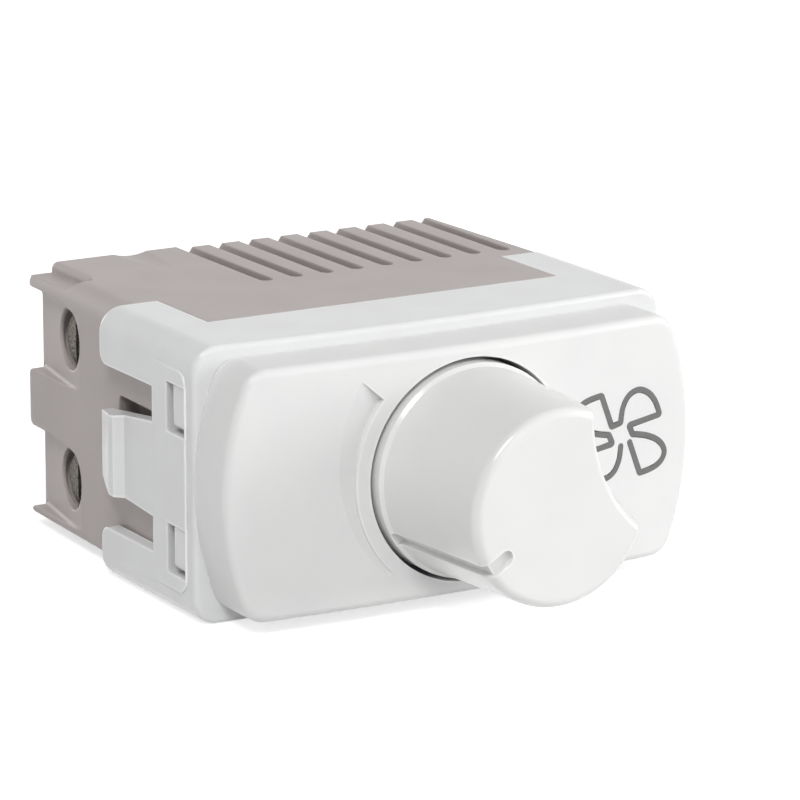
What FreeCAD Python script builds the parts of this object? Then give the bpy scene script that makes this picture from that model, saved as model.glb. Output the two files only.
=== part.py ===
"""Rotary fan speed control: a snap-in wall-plate module.

Millimetres. +X right, +Y into the wall, +Z up, seen from the front.
The origin lies on the knob's axis, on the crown of the mounting frame's front face.
"""
import FreeCAD, Part
import math
import os

V = FreeCAD.Vector
RIGHT = V(1, 0, 0)
REAR = V(0, 1, 0)
UP = V(0, 0, 1)
ENDS = (-1, 1)
PAST = 5.0                 # how far a cutter runs past the faces it opens
TINY = 1e-6                # tolerance when edges are picked by place
CURVE_TINY = 1e-3          # the same, for edges on a bowed face

# Mounting frame
FRAME_WIDTH = 45.0         # across the end walls
FRAME_HEIGHT = 23.3        # bottom band to top band
FRAME_CORNER = 2.1         # long edges
FRAME_CROWN = 262.0        # radius of the front face, bowed about a vertical axis
FRAME_EDGE = 0.45          # rounding of the front rim
FRAME_WALL = 1.2           # band, arms and latch tongues
BAND_DEPTH = 8.44          # front crown to the seam with the rear housing
WEB_REAR = 2.2             # rear face of the wall that carries the control
ARM_LENGTH = 8.9           # corner arms behind the seam
ARM_INNER_X = 17.05        # inner edge of the arms, on the top and the bottom
ARM_LOWER_Z = 7.03         # edge of the arms on the end walls
ARM_END_ROUND = 1.1        # free corner of each arm
LATCH_HALF = 4.04          # latch tongue at its root
LATCH_TIP_TOP = 2.9        # upper edge of the tongue at its tip
LATCH_TIP_BOTTOM = 3.55    # lower edge of the tongue at its tip
LATCH_LENGTH = 9.06        # latch tongue behind the seam
SLOT_SETBACK = 0.37        # roots of the slots beside the tongue, ahead of the seam
HOOK_FOOT = 4.6            # start of the latch hook behind the seam
HOOK_RAMP = 0.6            # length of the hook's front ramp
HOOK_CREST = 0.8           # length of its crest
HOOK_PROUD = 0.8           # crest beyond the end wall
HOOK_TIP_DROP = 0.2        # tip of the tongue, inside the end wall's plane
TIP_CHAMFER_Y = 2.6        # cut-off corner under the tongue's tip
TIP_CHAMFER_Z = 0.8
PANEL_HALF = 9.34          # raised panel on each end wall
PANEL_FRONT = 2.24
PANEL_RUNOUT = 9.2         # where the panel has come down to the wall
PANEL_PROUD = 0.16
PANEL_ROUND = 1.2
WINDOW_FRONT = 2.33        # windows for the cover's hooks
WINDOW_LENGTH = 3.16
WINDOW_LOW = 3.89
WINDOW_HEIGHT = 4.14
SPOT_FACE_RADIUS = 7.0     # flat seat for the washer
SPOT_FACE_DEPTH = 0.2

# Front cover
COVER_DEPTH = 5.16         # crown of the cover ahead of the frame's crown
COVER_CROWN = 228.0        # radius of its face, bowed about a vertical axis
COVER_MARGIN = 1.1         # frame left showing above and below
COVER_END_MARGIN = 0.06    # frame left showing at the middle of each end
COVER_END_BOW = 25.2       # radius of the bulging ends
COVER_CORNER = 2.2
COVER_EDGE = 0.7           # rounding of the face's edge
COVER_WALL = 1.5
COVER_SEAT_GAP = 0.05      # moulding clearance on the frame
COLLAR_WALL = 1.4          # ring round the knob's hole
COLLAR_GAP = 0.6           # ring's rear edge ahead of the frame
PRONG_THICK = 1.2
PRONG_GAP = 0.2            # prong inside the end wall
PRONG_HEIGHT = 3.6
PRONG_TOP_GAP = 0.1        # prong under the top of its window
PRONG_END_ROUND = 0.5
CATCH_LENGTH = 2.0
CATCH_GAP = 0.1            # catch behind the window's front edge
CATCH_SUNK = 0.05          # catch inside the end wall's plane
CRESCENT_GAP = 1.27        # crescent mark outside the knob's hole
CRESCENT_WIDTH = 2.5       # widest part of the mark
CRESCENT_RADIUS = 10.7     # its outer edge
CRESCENT_DEPTH = 0.55
CRESCENT_START = 140.0     # degrees, its deep end
CRESCENT_SPAN = 86.0

# Knob
HOLE_BORDER = 1.08         # cover left above and below the knob's hole
KNOB_GAP = 0.37            # skirt inside the cover's hole
KNOB_REACH = 13.85         # face ahead of the cover's crown
KNOB_TAPER = 0.9           # face inside the skirt
KNOB_FACE_EDGE = 0.8
KNOB_LIP = 0.3             # lip at the foot of the cone
KNOB_LIP_HEIGHT = 0.5      # lip ahead of the cover's crown
KNOB_SKIRT = 2.56          # skirt behind the cover's crown
KNOB_SKIRT_WALL = 2.0
KNOB_HOLLOW = 5.4          # depth of the hollow in the skirt
KNOB_BOSS_RADIUS = 4.6
KNOB_BOSS_SETBACK = 1.2    # boss short of the skirt's rear edge
SCOOP_ANGLE = 24.5         # finger scoop, degrees from +X
SCOOP_OFFSET = 7.85        # axis of the scoop outside the skirt
SCOOP_RADIUS = 12.5        # on the face
SCOOP_BULGE = 0.35         # middle of the scoop behind a straight line
SCOOP_FOOT = 1.3           # end of the scoop ahead of the cover's crown
SCOOP_EDGE = 0.5           # rounding where the scoop meets the face
POINTER_ANGLE = 212.0
POINTER_WIDTH = 1.2
POINTER_DEPTH = 0.5
POINTER_LENGTH = 2.0       # pointer on the face, to its round end

# Control: shaft, bush, case and nut
SHAFT_RADIUS = 3.0
SHAFT_TIP = 4.4            # shaft's end behind the knob's face
SHAFT_FLAT = 1.5           # flat from the axis
SHAFT_FLAT_LENGTH = 9.0
SHAFT_GAP = 0.06           # running clearance in the bush
SOCKET_GAP = 0.05          # knob's socket round the shaft
CLIP_THICK = 0.4
CLIP_WIDTH = 3.6
CLIP_LENGTH = 7.0
CLIP_ROUND = 0.6
BUSH_RADIUS = 3.5
BUSH_REACH = 3.0           # bush ahead of the frame's crown
BUSH_FLANGE_RADIUS = 4.6
BUSH_FLANGE = 0.8
BUSH_HOLE_GAP = 0.1
WASHER_RADIUS = 5.6
WASHER_THICK = 0.5
NUT_ACROSS = 10.0
NUT_THICK = 2.0
POT_RADIUS = 6.2
POT_DEPTH = 6.6
POT_WALL = 0.8
POT_FRONT = 1.0
TRACK_THICK = 0.8
TRACK_LIFT = 1.0           # track plate ahead of the board
TRACK_LEG_PITCH = 3.8
TRACK_LEG_DROP = 4.0       # legs below the knob's axis
WIPER_RADIUS = 4.8
WIPER_THICK = 1.4
WIPER_GAP = 1.2            # wiper disc ahead of the track
BRUSH_GAP = 0.15           # brush ahead of the track
BRUSH_RADIUS = 3.9
BRUSH_SIZE = 0.9

# Circuit board and its parts
BOARD_THICK = 1.6
BOARD_GAP = 0.2            # board inside the housing
LEAD = 0.6                 # square leads
LEAD_GAP = 0.12            # holes round the leads
LEAD_TAIL = 0.8            # leads behind the board, or ahead of it
RESISTOR_RADIUS = 1.1
RESISTOR_LENGTH = 6.0
RESISTOR_PITCH = 2.6
RESISTOR_COUNT = 2
RESISTOR_FIRST = 1.7       # first resistor right of the control's case
DIAC_RADIUS = 0.9
DIAC_LENGTH = 4.0
DIAC_SIDE = 6.4            # right of the control's case
FUSE_RADIUS = 1.6
FUSE_LENGTH = 8.5
FUSE_SIDE = 2.2            # left of the control's case
AXIAL_LIFT = 0.2           # bodies off the board
AXIAL_LEG = 1.0            # lead beyond the body before it turns down
TIMING_THICK = 2.5
TIMING_LENGTH = 7.2
TIMING_HEIGHT = 5.6
TIMING_PITCH = 3.6
TIMING_INSET = 1.45        # from the board's left edge
CAPACITOR_LENGTH = 13.0
CAPACITOR_THICK = 4.5
CAPACITOR_HEIGHT = 8.5
CAPACITOR_ROUND = 0.5
CAPACITOR_PITCH = 10.0
CAPACITOR_X = 3.6
CHOKE_CORE_RADIUS = 4.0
CHOKE_CORE_HOLE = 2.2
CHOKE_CORE_HEIGHT = 3.6
CHOKE_WIRE = 0.8
CHOKE_SPAN = 300.0         # degrees of the core that are wound
CHOKE_GAP = 0.6            # above the capacitor
CHOKE_LEAD_ANGLE = 30.0    # winding's ends, either side of straight down
TRIAC_WIDTH = 7.8
TRIAC_HEIGHT = 10.8
TRIAC_THICK = 2.7
TRIAC_LIFT = 5.0           # legs between the board and the body
TRIAC_LEG_PITCH = 2.29
TRIAC_HOLE_RADIUS = 1.6
TRIAC_HOLE_DROP = 3.8      # hole from the end of the body
SINK_THICK = 1.5
SINK_REAR_GAP = 1.3        # plate clear of the housing's rear wall
SINK_MARGIN = 0.6          # plate clear of the housing's floor and ceiling
SINK_LIFT = 2.6            # plate behind the board
SINK_LIP = 5.0             # folded edge under the cooling slots
SINK_SCREW_RADIUS = 1.5
SINK_SCREW_HEAD_RADIUS = 2.6
SINK_SCREW_HEAD = 1.7
SINK_SCREW_GAP = 0.05

# Rear housing
HOUSING_DEPTH = 26.5       # seam to the rear face
HOUSING_DRAFT = 0.89       # each end wall leans in this much towards the rear
HOUSING_CORNER = 2.0       # left long edge of the top
HOUSING_FIN_CORNER = 0.5   # right long edge of the top, beside the last fin
HOUSING_LOWER_CORNER = 0.8 # long edges of the bottom
HOUSING_STEP = 0.9         # bottom above the frame's bottom band
HOUSING_WALL = 1.8
HOUSING_FLOOR = 1.6
SEAM_GAP = 0.12
FIT = 0.06                 # clearance inside the frame's band and arms
SPIGOT_LENGTH = 2.2        # part of the housing inside the band
SLOT_COUNT = 9             # cooling slots
SLOT_PITCH = 3.0
SLOT_WIDTH = 1.3
SLOT_DEPTH = 2.0
SLOT_ROOF = 1.4            # roof under the slots
SLOT_EDGE_FIN = 0.86       # narrow fin at the right end
SLOT_FRONT = 10.9          # slots' round ends behind the seam
FIN_BEVEL = 0.6            # rear ends of the fins
NOTCH_WIDTH = 2.3          # step in the rear left corner of the top
NOTCH_LENGTH = 7.1
NOTCH_DEPTH = 0.9
NOTCH_SLOPE = 0.9
NOTCH_EDGE = 0.6           # rounding of the top's edge beside the step
DIP_LEFT = 8.35            # shallow dip in the rear edge, from the left end
DIP_WIDTH = 3.2
DIP_DEPTH = 0.25
DIP_LENGTH = 8.0
POCKET_GAP = 0.12          # relief behind each latch tongue, round its root
POCKET_LENGTH = 8.5
POCKET_DEPTH = 2.2
POCKET_ROUND = 0.6
LEDGE_REACH = 1.2          # ledges under the board
LEDGE_LENGTH = 1.5

# Terminals
TERMINAL_INSET = 5.0       # screw axes from the housing's top and bottom
TERMINAL_FROM_REAR = 7.7
ACCESS_RADIUS = 2.7        # hole for the screwdriver
SCREW_ROOM_RADIUS = 3.0    # wider bore behind the hole's lip
SCREW_ROOM = 0.9           # that bore, outwards from the cavity
INSET_ABOVE = 3.25         # tapered inset round the hole
INSET_BELOW = 4.1
INSET_DEPTH = 1.35
INSET_LENGTH = 10.2
INSET_UPPER_ROUND = 1.1
INSET_LOWER_ROUND = 0.35
INSET_CORNER = 0.6         # rear corners of the blocks beside the insets
SCREW_RISE = 1.0           # head's face inside the access hole
SCREW_HEAD_RADIUS = 2.3
SCREW_HEAD = 2.45
SCREW_RADIUS = 1.75
SCREW_SLOT_WIDTH = 0.8
SCREW_SLOT_DEPTH = 0.9
SCREW_SHANK = 4.3
SCREW_TIP_GAP = 0.1
THREAD_GAP = 0.06
BAR_THICK = 0.8
BAR_HALF = 1.8
BAR_TAIL = 1.2             # bar behind the cage
BAR_TAB_HALF = 0.8
CAGE_NUT = 1.5             # threaded wall of the cage
CAGE_FAR = 1.2             # wall that presses the wire
CAGE_SIDE = 0.6
CAGE_HALF = 2.9
CAGE_LENGTH = 5.1
CAGE_GAP = 0.1             # nut wall ahead of the bar
WIRE_ROOM = 3.0            # between the bar and the open cage
WIRE_RADIUS = 1.9          # entry in the rear wall
WIRE_LEAD_IN = 0.5
PARTITION = 1.2            # wall between the terminals and the board's parts
PARTITION_GAP = 0.6
PARTITION_FRONT = 8.0      # partition's front edge, ahead of the screw axes
RIB = 1.2                  # wall between the two terminals

# Planes and places that follow from the sizes above
half_w = FRAME_WIDTH / 2
half_h = FRAME_HEIGHT / 2
wall_x = half_w - FRAME_WALL
wall_z = half_h - FRAME_WALL
seam_y = BAND_DEPTH
arm_end_y = seam_y + ARM_LENGTH
latch_end_y = seam_y + LATCH_LENGTH
slot_root_y = seam_y - SLOT_SETBACK
window_rear_y = WINDOW_FRONT + WINDOW_LENGTH
crown_y = -COVER_DEPTH
knob_face_y = crown_y - KNOB_REACH
knob_rear_y = crown_y + KNOB_SKIRT
hole_radius = half_h - COVER_MARGIN - HOLE_BORDER
knob_radius = hole_radius - KNOB_GAP
face_radius = knob_radius - KNOB_TAPER
scoop_centre = knob_radius + SCOOP_OFFSET
pointer_inner = face_radius - POINTER_LENGTH
shaft_tip_y = knob_face_y + SHAFT_TIP
pot_rear_y = WEB_REAR + POT_DEPTH
track_rear_y = pot_rear_y + TRACK_THICK
board_front_y = track_rear_y + TRACK_LIFT
board_rear_y = board_front_y + BOARD_THICK
housing_front_y = seam_y + SEAM_GAP
rear_y = seam_y + HOUSING_DEPTH
rear_inner_y = rear_y - HOUSING_WALL
housing_half = wall_x - FIT
rear_half = housing_half - HOUSING_DRAFT
housing_top = half_h
housing_bottom = HOUSING_STEP - half_h
cavity_half = rear_half - HOUSING_WALL
floor_z = housing_bottom + HOUSING_FLOOR
ceiling_z = housing_top - SLOT_DEPTH - SLOT_ROOF
left_ceiling_z = housing_top - HOUSING_WALL
board_half = cavity_half - BOARD_GAP
board_bottom = floor_z + BOARD_GAP
board_top = ceiling_z - BOARD_GAP
terminal_y = rear_y - TERMINAL_FROM_REAR
terminal_heights = {"upper": housing_top - TERMINAL_INSET, "lower": housing_bottom + TERMINAL_INSET}
screw_head_x = -cavity_half - SCREW_RISE
shank_x = screw_head_x + SCREW_HEAD
shank_end_x = shank_x + SCREW_SHANK
bar_x = shank_end_x + SCREW_TIP_GAP
bar_face_x = bar_x + BAR_THICK
cage_far_x = bar_face_x + WIRE_ROOM
cage_end_x = cage_far_x + CAGE_FAR
nut_end_x = bar_x - CAGE_GAP
wire_x = bar_face_x + WIRE_ROOM / 2
partition_x = cage_end_x + PARTITION_GAP
partition_front_y = terminal_y - PARTITION_FRONT
sink_x = cavity_half - SINK_THICK
triac_x = sink_x - TRIAC_THICK
triac_y = board_rear_y + TRIAC_LIFT
triac_end_y = triac_y + TRIAC_HEIGHT
sink_screw_y = triac_end_y - TRIAC_HOLE_DROP
diac_x = POT_RADIUS + DIAC_SIDE
fuse_x = -POT_RADIUS - FUSE_SIDE
timing_x = TIMING_INSET - board_half
choke_radius = CHOKE_CORE_RADIUS + CHOKE_WIRE
choke_z = floor_z + CAPACITOR_THICK + CHOKE_GAP + choke_radius
choke_y = board_rear_y + CHOKE_WIRE


def box(x0, x1, y0, y1, z0, z1):
    """Block between two corners."""
    return Part.makeBox(x1 - x0, y1 - y0, z1 - z0, V(x0, y0, z0))


def mirrored_box(side, x0, x1, y0, y1, z0, z1):
    """Block at one end of the module: x is measured outwards from the middle."""
    low, high = sorted((side * x0, side * x1))
    return box(low, high, y0, y1, z0, z1)


def rod_x(radius, x0, x1, y, z):
    """Cylinder along X."""
    return Part.makeCylinder(radius, x1 - x0, V(x0, y, z), RIGHT)


def rod_y(radius, y0, y1, x=0.0, z=0.0):
    """Cylinder along Y."""
    return Part.makeCylinder(radius, y1 - y0, V(x, y0, z), REAR)


def prism(points, direction):
    """Solid swept from a closed outline of straight edges."""
    return Part.Face(Part.makePolygon(points + points[:1])).extrude(direction)


def turned(points):
    """Solid turned about the knob's axis from (radius, y) points."""
    outline = Part.makePolygon([V(radius, y, 0) for radius, y in points + points[:1]])
    return Part.Face(outline).revolve(V(0, 0, 0), REAR, 360)


def bowed(radius, y):
    """Upright cylinder whose front touches the plane y."""
    height = FRAME_HEIGHT + 2 * PAST
    return Part.makeCylinder(radius, height, V(0, y + radius, -height / 2), UP)


def edges_along(solid, direction):
    """Straight edges that run along a direction."""
    found = []
    for edge in solid.Edges:
        span = edge.Vertexes[-1].Point - edge.Vertexes[0].Point
        if edge.Curve.TypeId == "Part::GeomLine" and span.cross(direction).Length < TINY * direction.Length:
            found.append(edge)
    return found


def rounded_along(solid, radius, direction):
    """Solid with all its edges along one direction rounded."""
    return solid.makeFillet(radius, edges_along(solid, direction))


def rounded_rectangle(half_width, bottom, top, radii, y):
    """Wire of a rectangle in the plane y, rounded by four radii from the upper right corner downwards."""
    edges = []
    corners = ((1, top, 1), (1, bottom, -1), (-1, bottom, -1), (-1, top, 1))
    for number, (side, level, lift) in enumerate(corners):
        corner = radii[number]
        tip = corner * math.sqrt(0.5)
        centre = V(side * (half_width - corner), y, level - lift * corner)
        above = centre + V(0, 0, lift * corner)
        beside = centre + V(side * corner, 0, 0)
        between = centre + V(side * tip, 0, lift * tip)
        first, last = (above, beside) if number % 2 == 0 else (beside, above)
        if edges:
            edges.append(Part.LineSegment(edges[-1].Vertexes[-1].Point, first).toShape())
        edges.append(Part.Arc(first, between, last).toShape())
    edges.append(Part.LineSegment(edges[-1].Vertexes[-1].Point, edges[0].Vertexes[0].Point).toShape())
    return Part.Wire(edges)


def tube_block(half_width, bottom, top, corner, y0, y1):
    """Straight solid with a round-cornered section."""
    outline = rounded_rectangle(half_width, bottom, top, (corner, corner, corner, corner), y0)
    return Part.Face(outline).extrude(V(0, y1 - y0, 0))


def barrel_outline(inset, y):
    """Wire of the cover: straight top and bottom, bulging ends, round corners."""
    half_width = half_w - COVER_END_MARGIN - inset
    half_height = half_h - COVER_MARGIN - inset
    bow = COVER_END_BOW - inset
    corner = COVER_CORNER - inset
    bow_x = half_width - bow
    reach = math.sqrt((bow - corner) ** 2 - (half_height - corner) ** 2)
    lean = math.atan2(half_height - corner, reach)
    middle = (lean + math.pi / 2) / 2
    start = (bow_x + reach, half_height)
    bend = (start[0] + corner * math.cos(middle), half_height - corner + corner * math.sin(middle))
    touch = (bow_x + bow * math.cos(lean), bow * math.sin(lean))
    edges = []
    for side in (1, -1):
        def at(point, lift):
            return V(side * point[0], y, side * lift * point[1])
        edges.append(Part.LineSegment(V(-side * start[0], y, side * half_height), at(start, 1)).toShape())
        edges.append(Part.Arc(at(start, 1), at(bend, 1), at(touch, 1)).toShape())
        edges.append(Part.Arc(at(touch, 1), at((half_width, 0), 1), at(touch, -1)).toShape())
        edges.append(Part.Arc(at(touch, -1), at(bend, -1), at(start, -1)).toShape())
    return Part.Wire(edges)


def barrel(inset, y0, y1):
    """Straight solid on the cover's outline."""
    return Part.Face(barrel_outline(inset, y0)).extrude(V(0, y1 - y0, 0))


def crown_edges(solid, radius, y):
    """Edges that lie on the bowed face of a moulding."""
    axis = V(0, y + radius, 0)
    found = []
    for edge in solid.Edges:
        points = [edge.valueAt(edge.FirstParameter + share * (edge.LastParameter - edge.FirstParameter))
                  for share in (0.0, 0.3, 0.7, 1.0)]
        flat = [math.hypot(point.x - axis.x, point.y - axis.y) for point in points]
        if max(abs(distance - radius) for distance in flat) < CURVE_TINY:
            found.append(edge)
    return found


def front_cover():
    """Crowned cover with its knob collar, crescent mark and four snap hooks."""
    shell = barrel(0.0, crown_y - PAST, PAST).common(bowed(COVER_CROWN, crown_y))
    shell = shell.makeFillet(COVER_EDGE, crown_edges(shell, COVER_CROWN, crown_y))
    inside = barrel(COVER_WALL, crown_y - PAST, PAST)
    inside = inside.common(bowed(COVER_CROWN, crown_y + COVER_WALL))
    inside = inside.cut(rod_y(hole_radius + COLLAR_WALL, crown_y, -COLLAR_GAP))
    cover = shell.cut(inside).cut(rod_y(hole_radius, crown_y - PAST, PAST))
    cover = cover.cut(bowed(FRAME_CROWN, -COVER_SEAT_GAP))
    cover = cover.cut(crescent())
    for side in ENDS:
        for window_low in window_lows():
            cover = cover.fuse(snap_prong(side, window_low))
    return cover.removeSplitter()


def crescent():
    """Cutter for the wedge-shaped mark: a cone off the knob's axis, outside a round wall."""
    inner = hole_radius + CRESCENT_GAP
    shift = inner + CRESCENT_WIDTH - CRESCENT_RADIUS
    angle = math.radians(CRESCENT_START)
    centre_x = shift * math.cos(angle)
    centre_z = shift * math.sin(angle)
    face_y = crown_y + inner ** 2 / (2 * COVER_CROWN)
    cone = Part.makeCone(CRESCENT_RADIUS + CRESCENT_WIDTH, CRESCENT_RADIUS - 2 * CRESCENT_WIDTH,
                         3 * CRESCENT_DEPTH, V(centre_x, face_y - CRESCENT_DEPTH, centre_z), REAR)
    far = 2 * (inner + CRESCENT_WIDTH)
    sector = [V(0, crown_y - PAST, 0)]
    for share in (0.0, 0.5, 1.0):
        angle = math.radians(CRESCENT_START + share * CRESCENT_SPAN)
        sector.append(V(far * math.cos(angle), crown_y - PAST, far * math.sin(angle)))
    return cone.common(prism(sector, V(0, 2 * PAST, 0))).cut(rod_y(inner, crown_y - PAST, PAST))


def window_lows():
    """Lower edges of the two windows in an end wall."""
    return (WINDOW_LOW, -WINDOW_LOW - WINDOW_HEIGHT)


def snap_prong(side, window_low):
    """One hooked prong of the cover, caught in a window of the frame."""
    outer = wall_x - PRONG_GAP
    top = window_low + WINDOW_HEIGHT - PRONG_TOP_GAP
    bottom = top - PRONG_HEIGHT
    catch_y = WINDOW_FRONT + CATCH_GAP
    catch_end = catch_y + CATCH_LENGTH
    prong = mirrored_box(side, outer - PRONG_THICK, outer, -COVER_DEPTH / 2, catch_end, bottom, top)
    catch = mirrored_box(side, outer, half_w - CATCH_SUNK, catch_y, catch_end, bottom, top)
    low_edges = [edge for edge in edges_along(catch, REAR) + edges_along(catch, RIGHT)
                 if edge.BoundBox.ZMax < bottom + TINY and side * edge.CenterOfMass.x > outer + TINY]
    return prong.fuse(catch.makeFillet(PRONG_END_ROUND, low_edges))


def mounting_frame():
    """Band with a control wall, four corner arms, two latch tongues and four windows."""
    sleeve = tube_block(half_w, -half_h, half_h, FRAME_CORNER, -PAST, arm_end_y)
    sleeve = sleeve.common(bowed(FRAME_CROWN, 0.0))
    sleeve = sleeve.makeFillet(FRAME_EDGE, crown_edges(sleeve, FRAME_CROWN, 0.0))
    sleeve = sleeve.cut(tube_block(wall_x, -wall_z, wall_z, FRAME_CORNER - FRAME_WALL, WEB_REAR,
                                   arm_end_y + PAST))
    sleeve = sleeve.cut(box(-ARM_INNER_X, ARM_INNER_X, seam_y, arm_end_y + PAST,
                            -half_h - PAST, half_h + PAST))
    for side in ENDS:
        sleeve = frame_end(sleeve, side)
    sleeve = sleeve.cut(rod_y(BUSH_RADIUS + BUSH_HOLE_GAP, -PAST, WEB_REAR + PAST))
    return sleeve.cut(rod_y(SPOT_FACE_RADIUS, -PAST, SPOT_FACE_DEPTH)).removeSplitter()


def frame_end(sleeve, side):
    """Panel, windows, prong slots, arm ends and latch tongue of one end wall."""
    sleeve = sleeve.fuse(end_panel(side))
    far = half_w + PAST
    sleeve = sleeve.cut(mirrored_box(side, ARM_INNER_X, far, slot_root_y, arm_end_y + PAST,
                                     -ARM_LOWER_Z, ARM_LOWER_Z))
    for lift in (-1, 1):
        sleeve = sleeve.cut(arm_corner(side, lift))
    for window_low in window_lows():
        window_top = window_low + WINDOW_HEIGHT
        sleeve = sleeve.cut(mirrored_box(side, wall_x - PRONG_GAP, far, WINDOW_FRONT, window_rear_y,
                                         window_low, window_top))
        slot_inner = wall_x - 2 * PRONG_GAP - PRONG_THICK
        slot_outer = wall_x - PRONG_GAP + COVER_SEAT_GAP
        sleeve = sleeve.cut(mirrored_box(side, slot_inner, slot_outer, -PAST, WEB_REAR + PAST,
                                         window_low + PRONG_GAP, window_top))
    return sleeve.fuse(latch_tongue(side))


def end_panel(side):
    """Slightly raised panel that runs out into the end wall."""
    points = [V(side * x, y, -PANEL_HALF) for x, y in
              ((wall_x, PANEL_FRONT), (half_w + PANEL_PROUD, PANEL_FRONT), (half_w, PANEL_RUNOUT),
               (wall_x, PANEL_RUNOUT))]
    panel = prism(points, V(0, 0, 2 * PANEL_HALF))
    return panel.makeFillet(PANEL_ROUND, [edge for edge in edges_along(panel, RIGHT)
                                          if edge.CenterOfMass.y < PANEL_FRONT + TINY])


def arm_corner(side, lift):
    """Cutter that rounds the free corner of one arm on the end wall."""
    corner_y = arm_end_y - ARM_END_ROUND
    corner_z = lift * (ARM_LOWER_Z + ARM_END_ROUND)
    low, high = sorted((lift * (ARM_LOWER_Z - PAST), corner_z))
    block = mirrored_box(side, wall_x - PAST, half_w + PAST, corner_y, arm_end_y + PAST, low, high)
    return block.cut(rod_x(ARM_END_ROUND, -half_w - 2 * PAST, half_w + 2 * PAST, corner_y, corner_z))


def latch_tongue(side):
    """Sprung tongue with a hook near its tip."""
    hook_y = seam_y + HOOK_FOOT
    crest_y = hook_y + HOOK_RAMP
    profile = ((wall_x, slot_root_y), (half_w, slot_root_y), (half_w, hook_y),
               (half_w + HOOK_PROUD, crest_y), (half_w + HOOK_PROUD, crest_y + HOOK_CREST),
               (half_w - HOOK_TIP_DROP, latch_end_y), (wall_x, latch_end_y))
    tongue = prism([V(side * x, y, -LATCH_HALF) for x, y in profile], V(0, 0, 2 * LATCH_HALF))
    far = half_w + PAST
    plan = ((slot_root_y, -LATCH_HALF), (latch_end_y - TIP_CHAMFER_Y, -LATCH_TIP_BOTTOM),
            (latch_end_y, TIP_CHAMFER_Z - LATCH_TIP_BOTTOM), (latch_end_y, LATCH_TIP_TOP),
            (slot_root_y, LATCH_HALF))
    return tongue.common(prism([V(-far, y, z) for y, z in plan], V(2 * far, 0, 0)))


def cone_radius(y):
    """Radius of the knob's cone at a plane."""
    foot_y = crown_y - KNOB_LIP_HEIGHT - KNOB_LIP
    share = (foot_y - y) / (foot_y - knob_face_y)
    return knob_radius - KNOB_LIP + share * (face_radius - knob_radius + KNOB_LIP)


def knob():
    """Conical knob with a lip, a finger scoop, a pointer groove and a socket for the shaft."""
    lip_y = crown_y - KNOB_LIP_HEIGHT
    body = turned([(0, knob_face_y), (face_radius, knob_face_y), (knob_radius - KNOB_LIP, lip_y - KNOB_LIP),
                   (knob_radius, lip_y), (knob_radius, knob_rear_y), (0, knob_rear_y)])
    body = body.makeFillet(KNOB_FACE_EDGE, face_edges(body)).cut(scoop())
    body = body.makeFillet(SCOOP_EDGE, [edge for edge in face_edges(body)
                                        if abs(edge.Curve.Radius - SCOOP_RADIUS) < TINY])
    hollow = rod_y(knob_radius - KNOB_SKIRT_WALL, knob_rear_y - KNOB_HOLLOW, knob_rear_y + PAST)
    boss = rod_y(KNOB_BOSS_RADIUS, knob_rear_y - KNOB_HOLLOW, knob_rear_y - KNOB_BOSS_SETBACK)
    body = body.cut(hollow.cut(boss)).cut(pointer_groove())
    return body.cut(shaft_socket()).removeSplitter()


def face_edges(body):
    """Edges that lie in the plane of the knob's face."""
    return [edge for edge in body.Edges if edge.BoundBox.YMax < knob_face_y + TINY]


def scoop():
    """Cutter of the finger scoop: turned about an axis beside the knob, wide at the face."""
    foot_y = crown_y - SCOOP_FOOT
    foot_radius = scoop_centre - knob_radius
    middle_y = (knob_face_y + foot_y) / 2
    middle_radius = (SCOOP_RADIUS + foot_radius) / 2 + SCOOP_BULGE
    top_y = knob_face_y - PAST
    rim = V(SCOOP_RADIUS, knob_face_y, 0)
    foot = V(foot_radius, foot_y, 0)
    curve = Part.Arc(rim, V(middle_radius, middle_y, 0), foot)
    sides = Part.makePolygon([foot, V(0, foot_y, 0), V(0, top_y, 0), V(SCOOP_RADIUS, top_y, 0), rim])
    cutter = Part.Face(Part.Wire([curve.toShape()] + sides.Edges)).revolve(V(0, 0, 0), REAR, 360)
    angle = math.radians(SCOOP_ANGLE)
    cutter.translate(V(scoop_centre * math.cos(angle), 0, scoop_centre * math.sin(angle)))
    return cutter


def pointer_groove():
    """Cutter of the pointer: a groove down the cone and a round-ended notch on the face."""
    half = POINTER_WIDTH / 2
    foot_y = crown_y - KNOB_LIP_HEIGHT
    floor = ((cone_radius(knob_face_y) - POINTER_DEPTH, knob_face_y - PAST),
             (cone_radius(knob_face_y) - POINTER_DEPTH, knob_face_y),
             (cone_radius(foot_y) - POINTER_DEPTH, foot_y),
             (knob_radius + PAST, foot_y), (knob_radius + PAST, knob_face_y - PAST))
    groove = prism([V(x, y, -half) for x, y in floor], V(0, 0, POINTER_WIDTH))
    notch_floor = knob_face_y + POINTER_DEPTH
    notch = box(pointer_inner, knob_radius + PAST, knob_face_y - PAST, notch_floor, -half, half)
    notch = notch.fuse(rod_y(half, knob_face_y - PAST, notch_floor, pointer_inner))
    cutter = groove.fuse(notch)
    cutter.rotate(V(0, 0, 0), REAR, -POINTER_ANGLE)
    return cutter


def shaft_socket():
    """Cutter of the knob's socket, with room for the clip on the shaft's flat."""
    radius = SHAFT_RADIUS + SOCKET_GAP
    socket = rod_y(radius, shaft_tip_y - SOCKET_GAP, knob_rear_y + PAST)
    flat_x = SHAFT_FLAT + SOCKET_GAP + CLIP_THICK
    solid_side = box(flat_x, radius + PAST, shaft_tip_y - PAST, shaft_tip_y + SHAFT_FLAT_LENGTH, -PAST, PAST)
    return socket.cut(solid_side)


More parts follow.
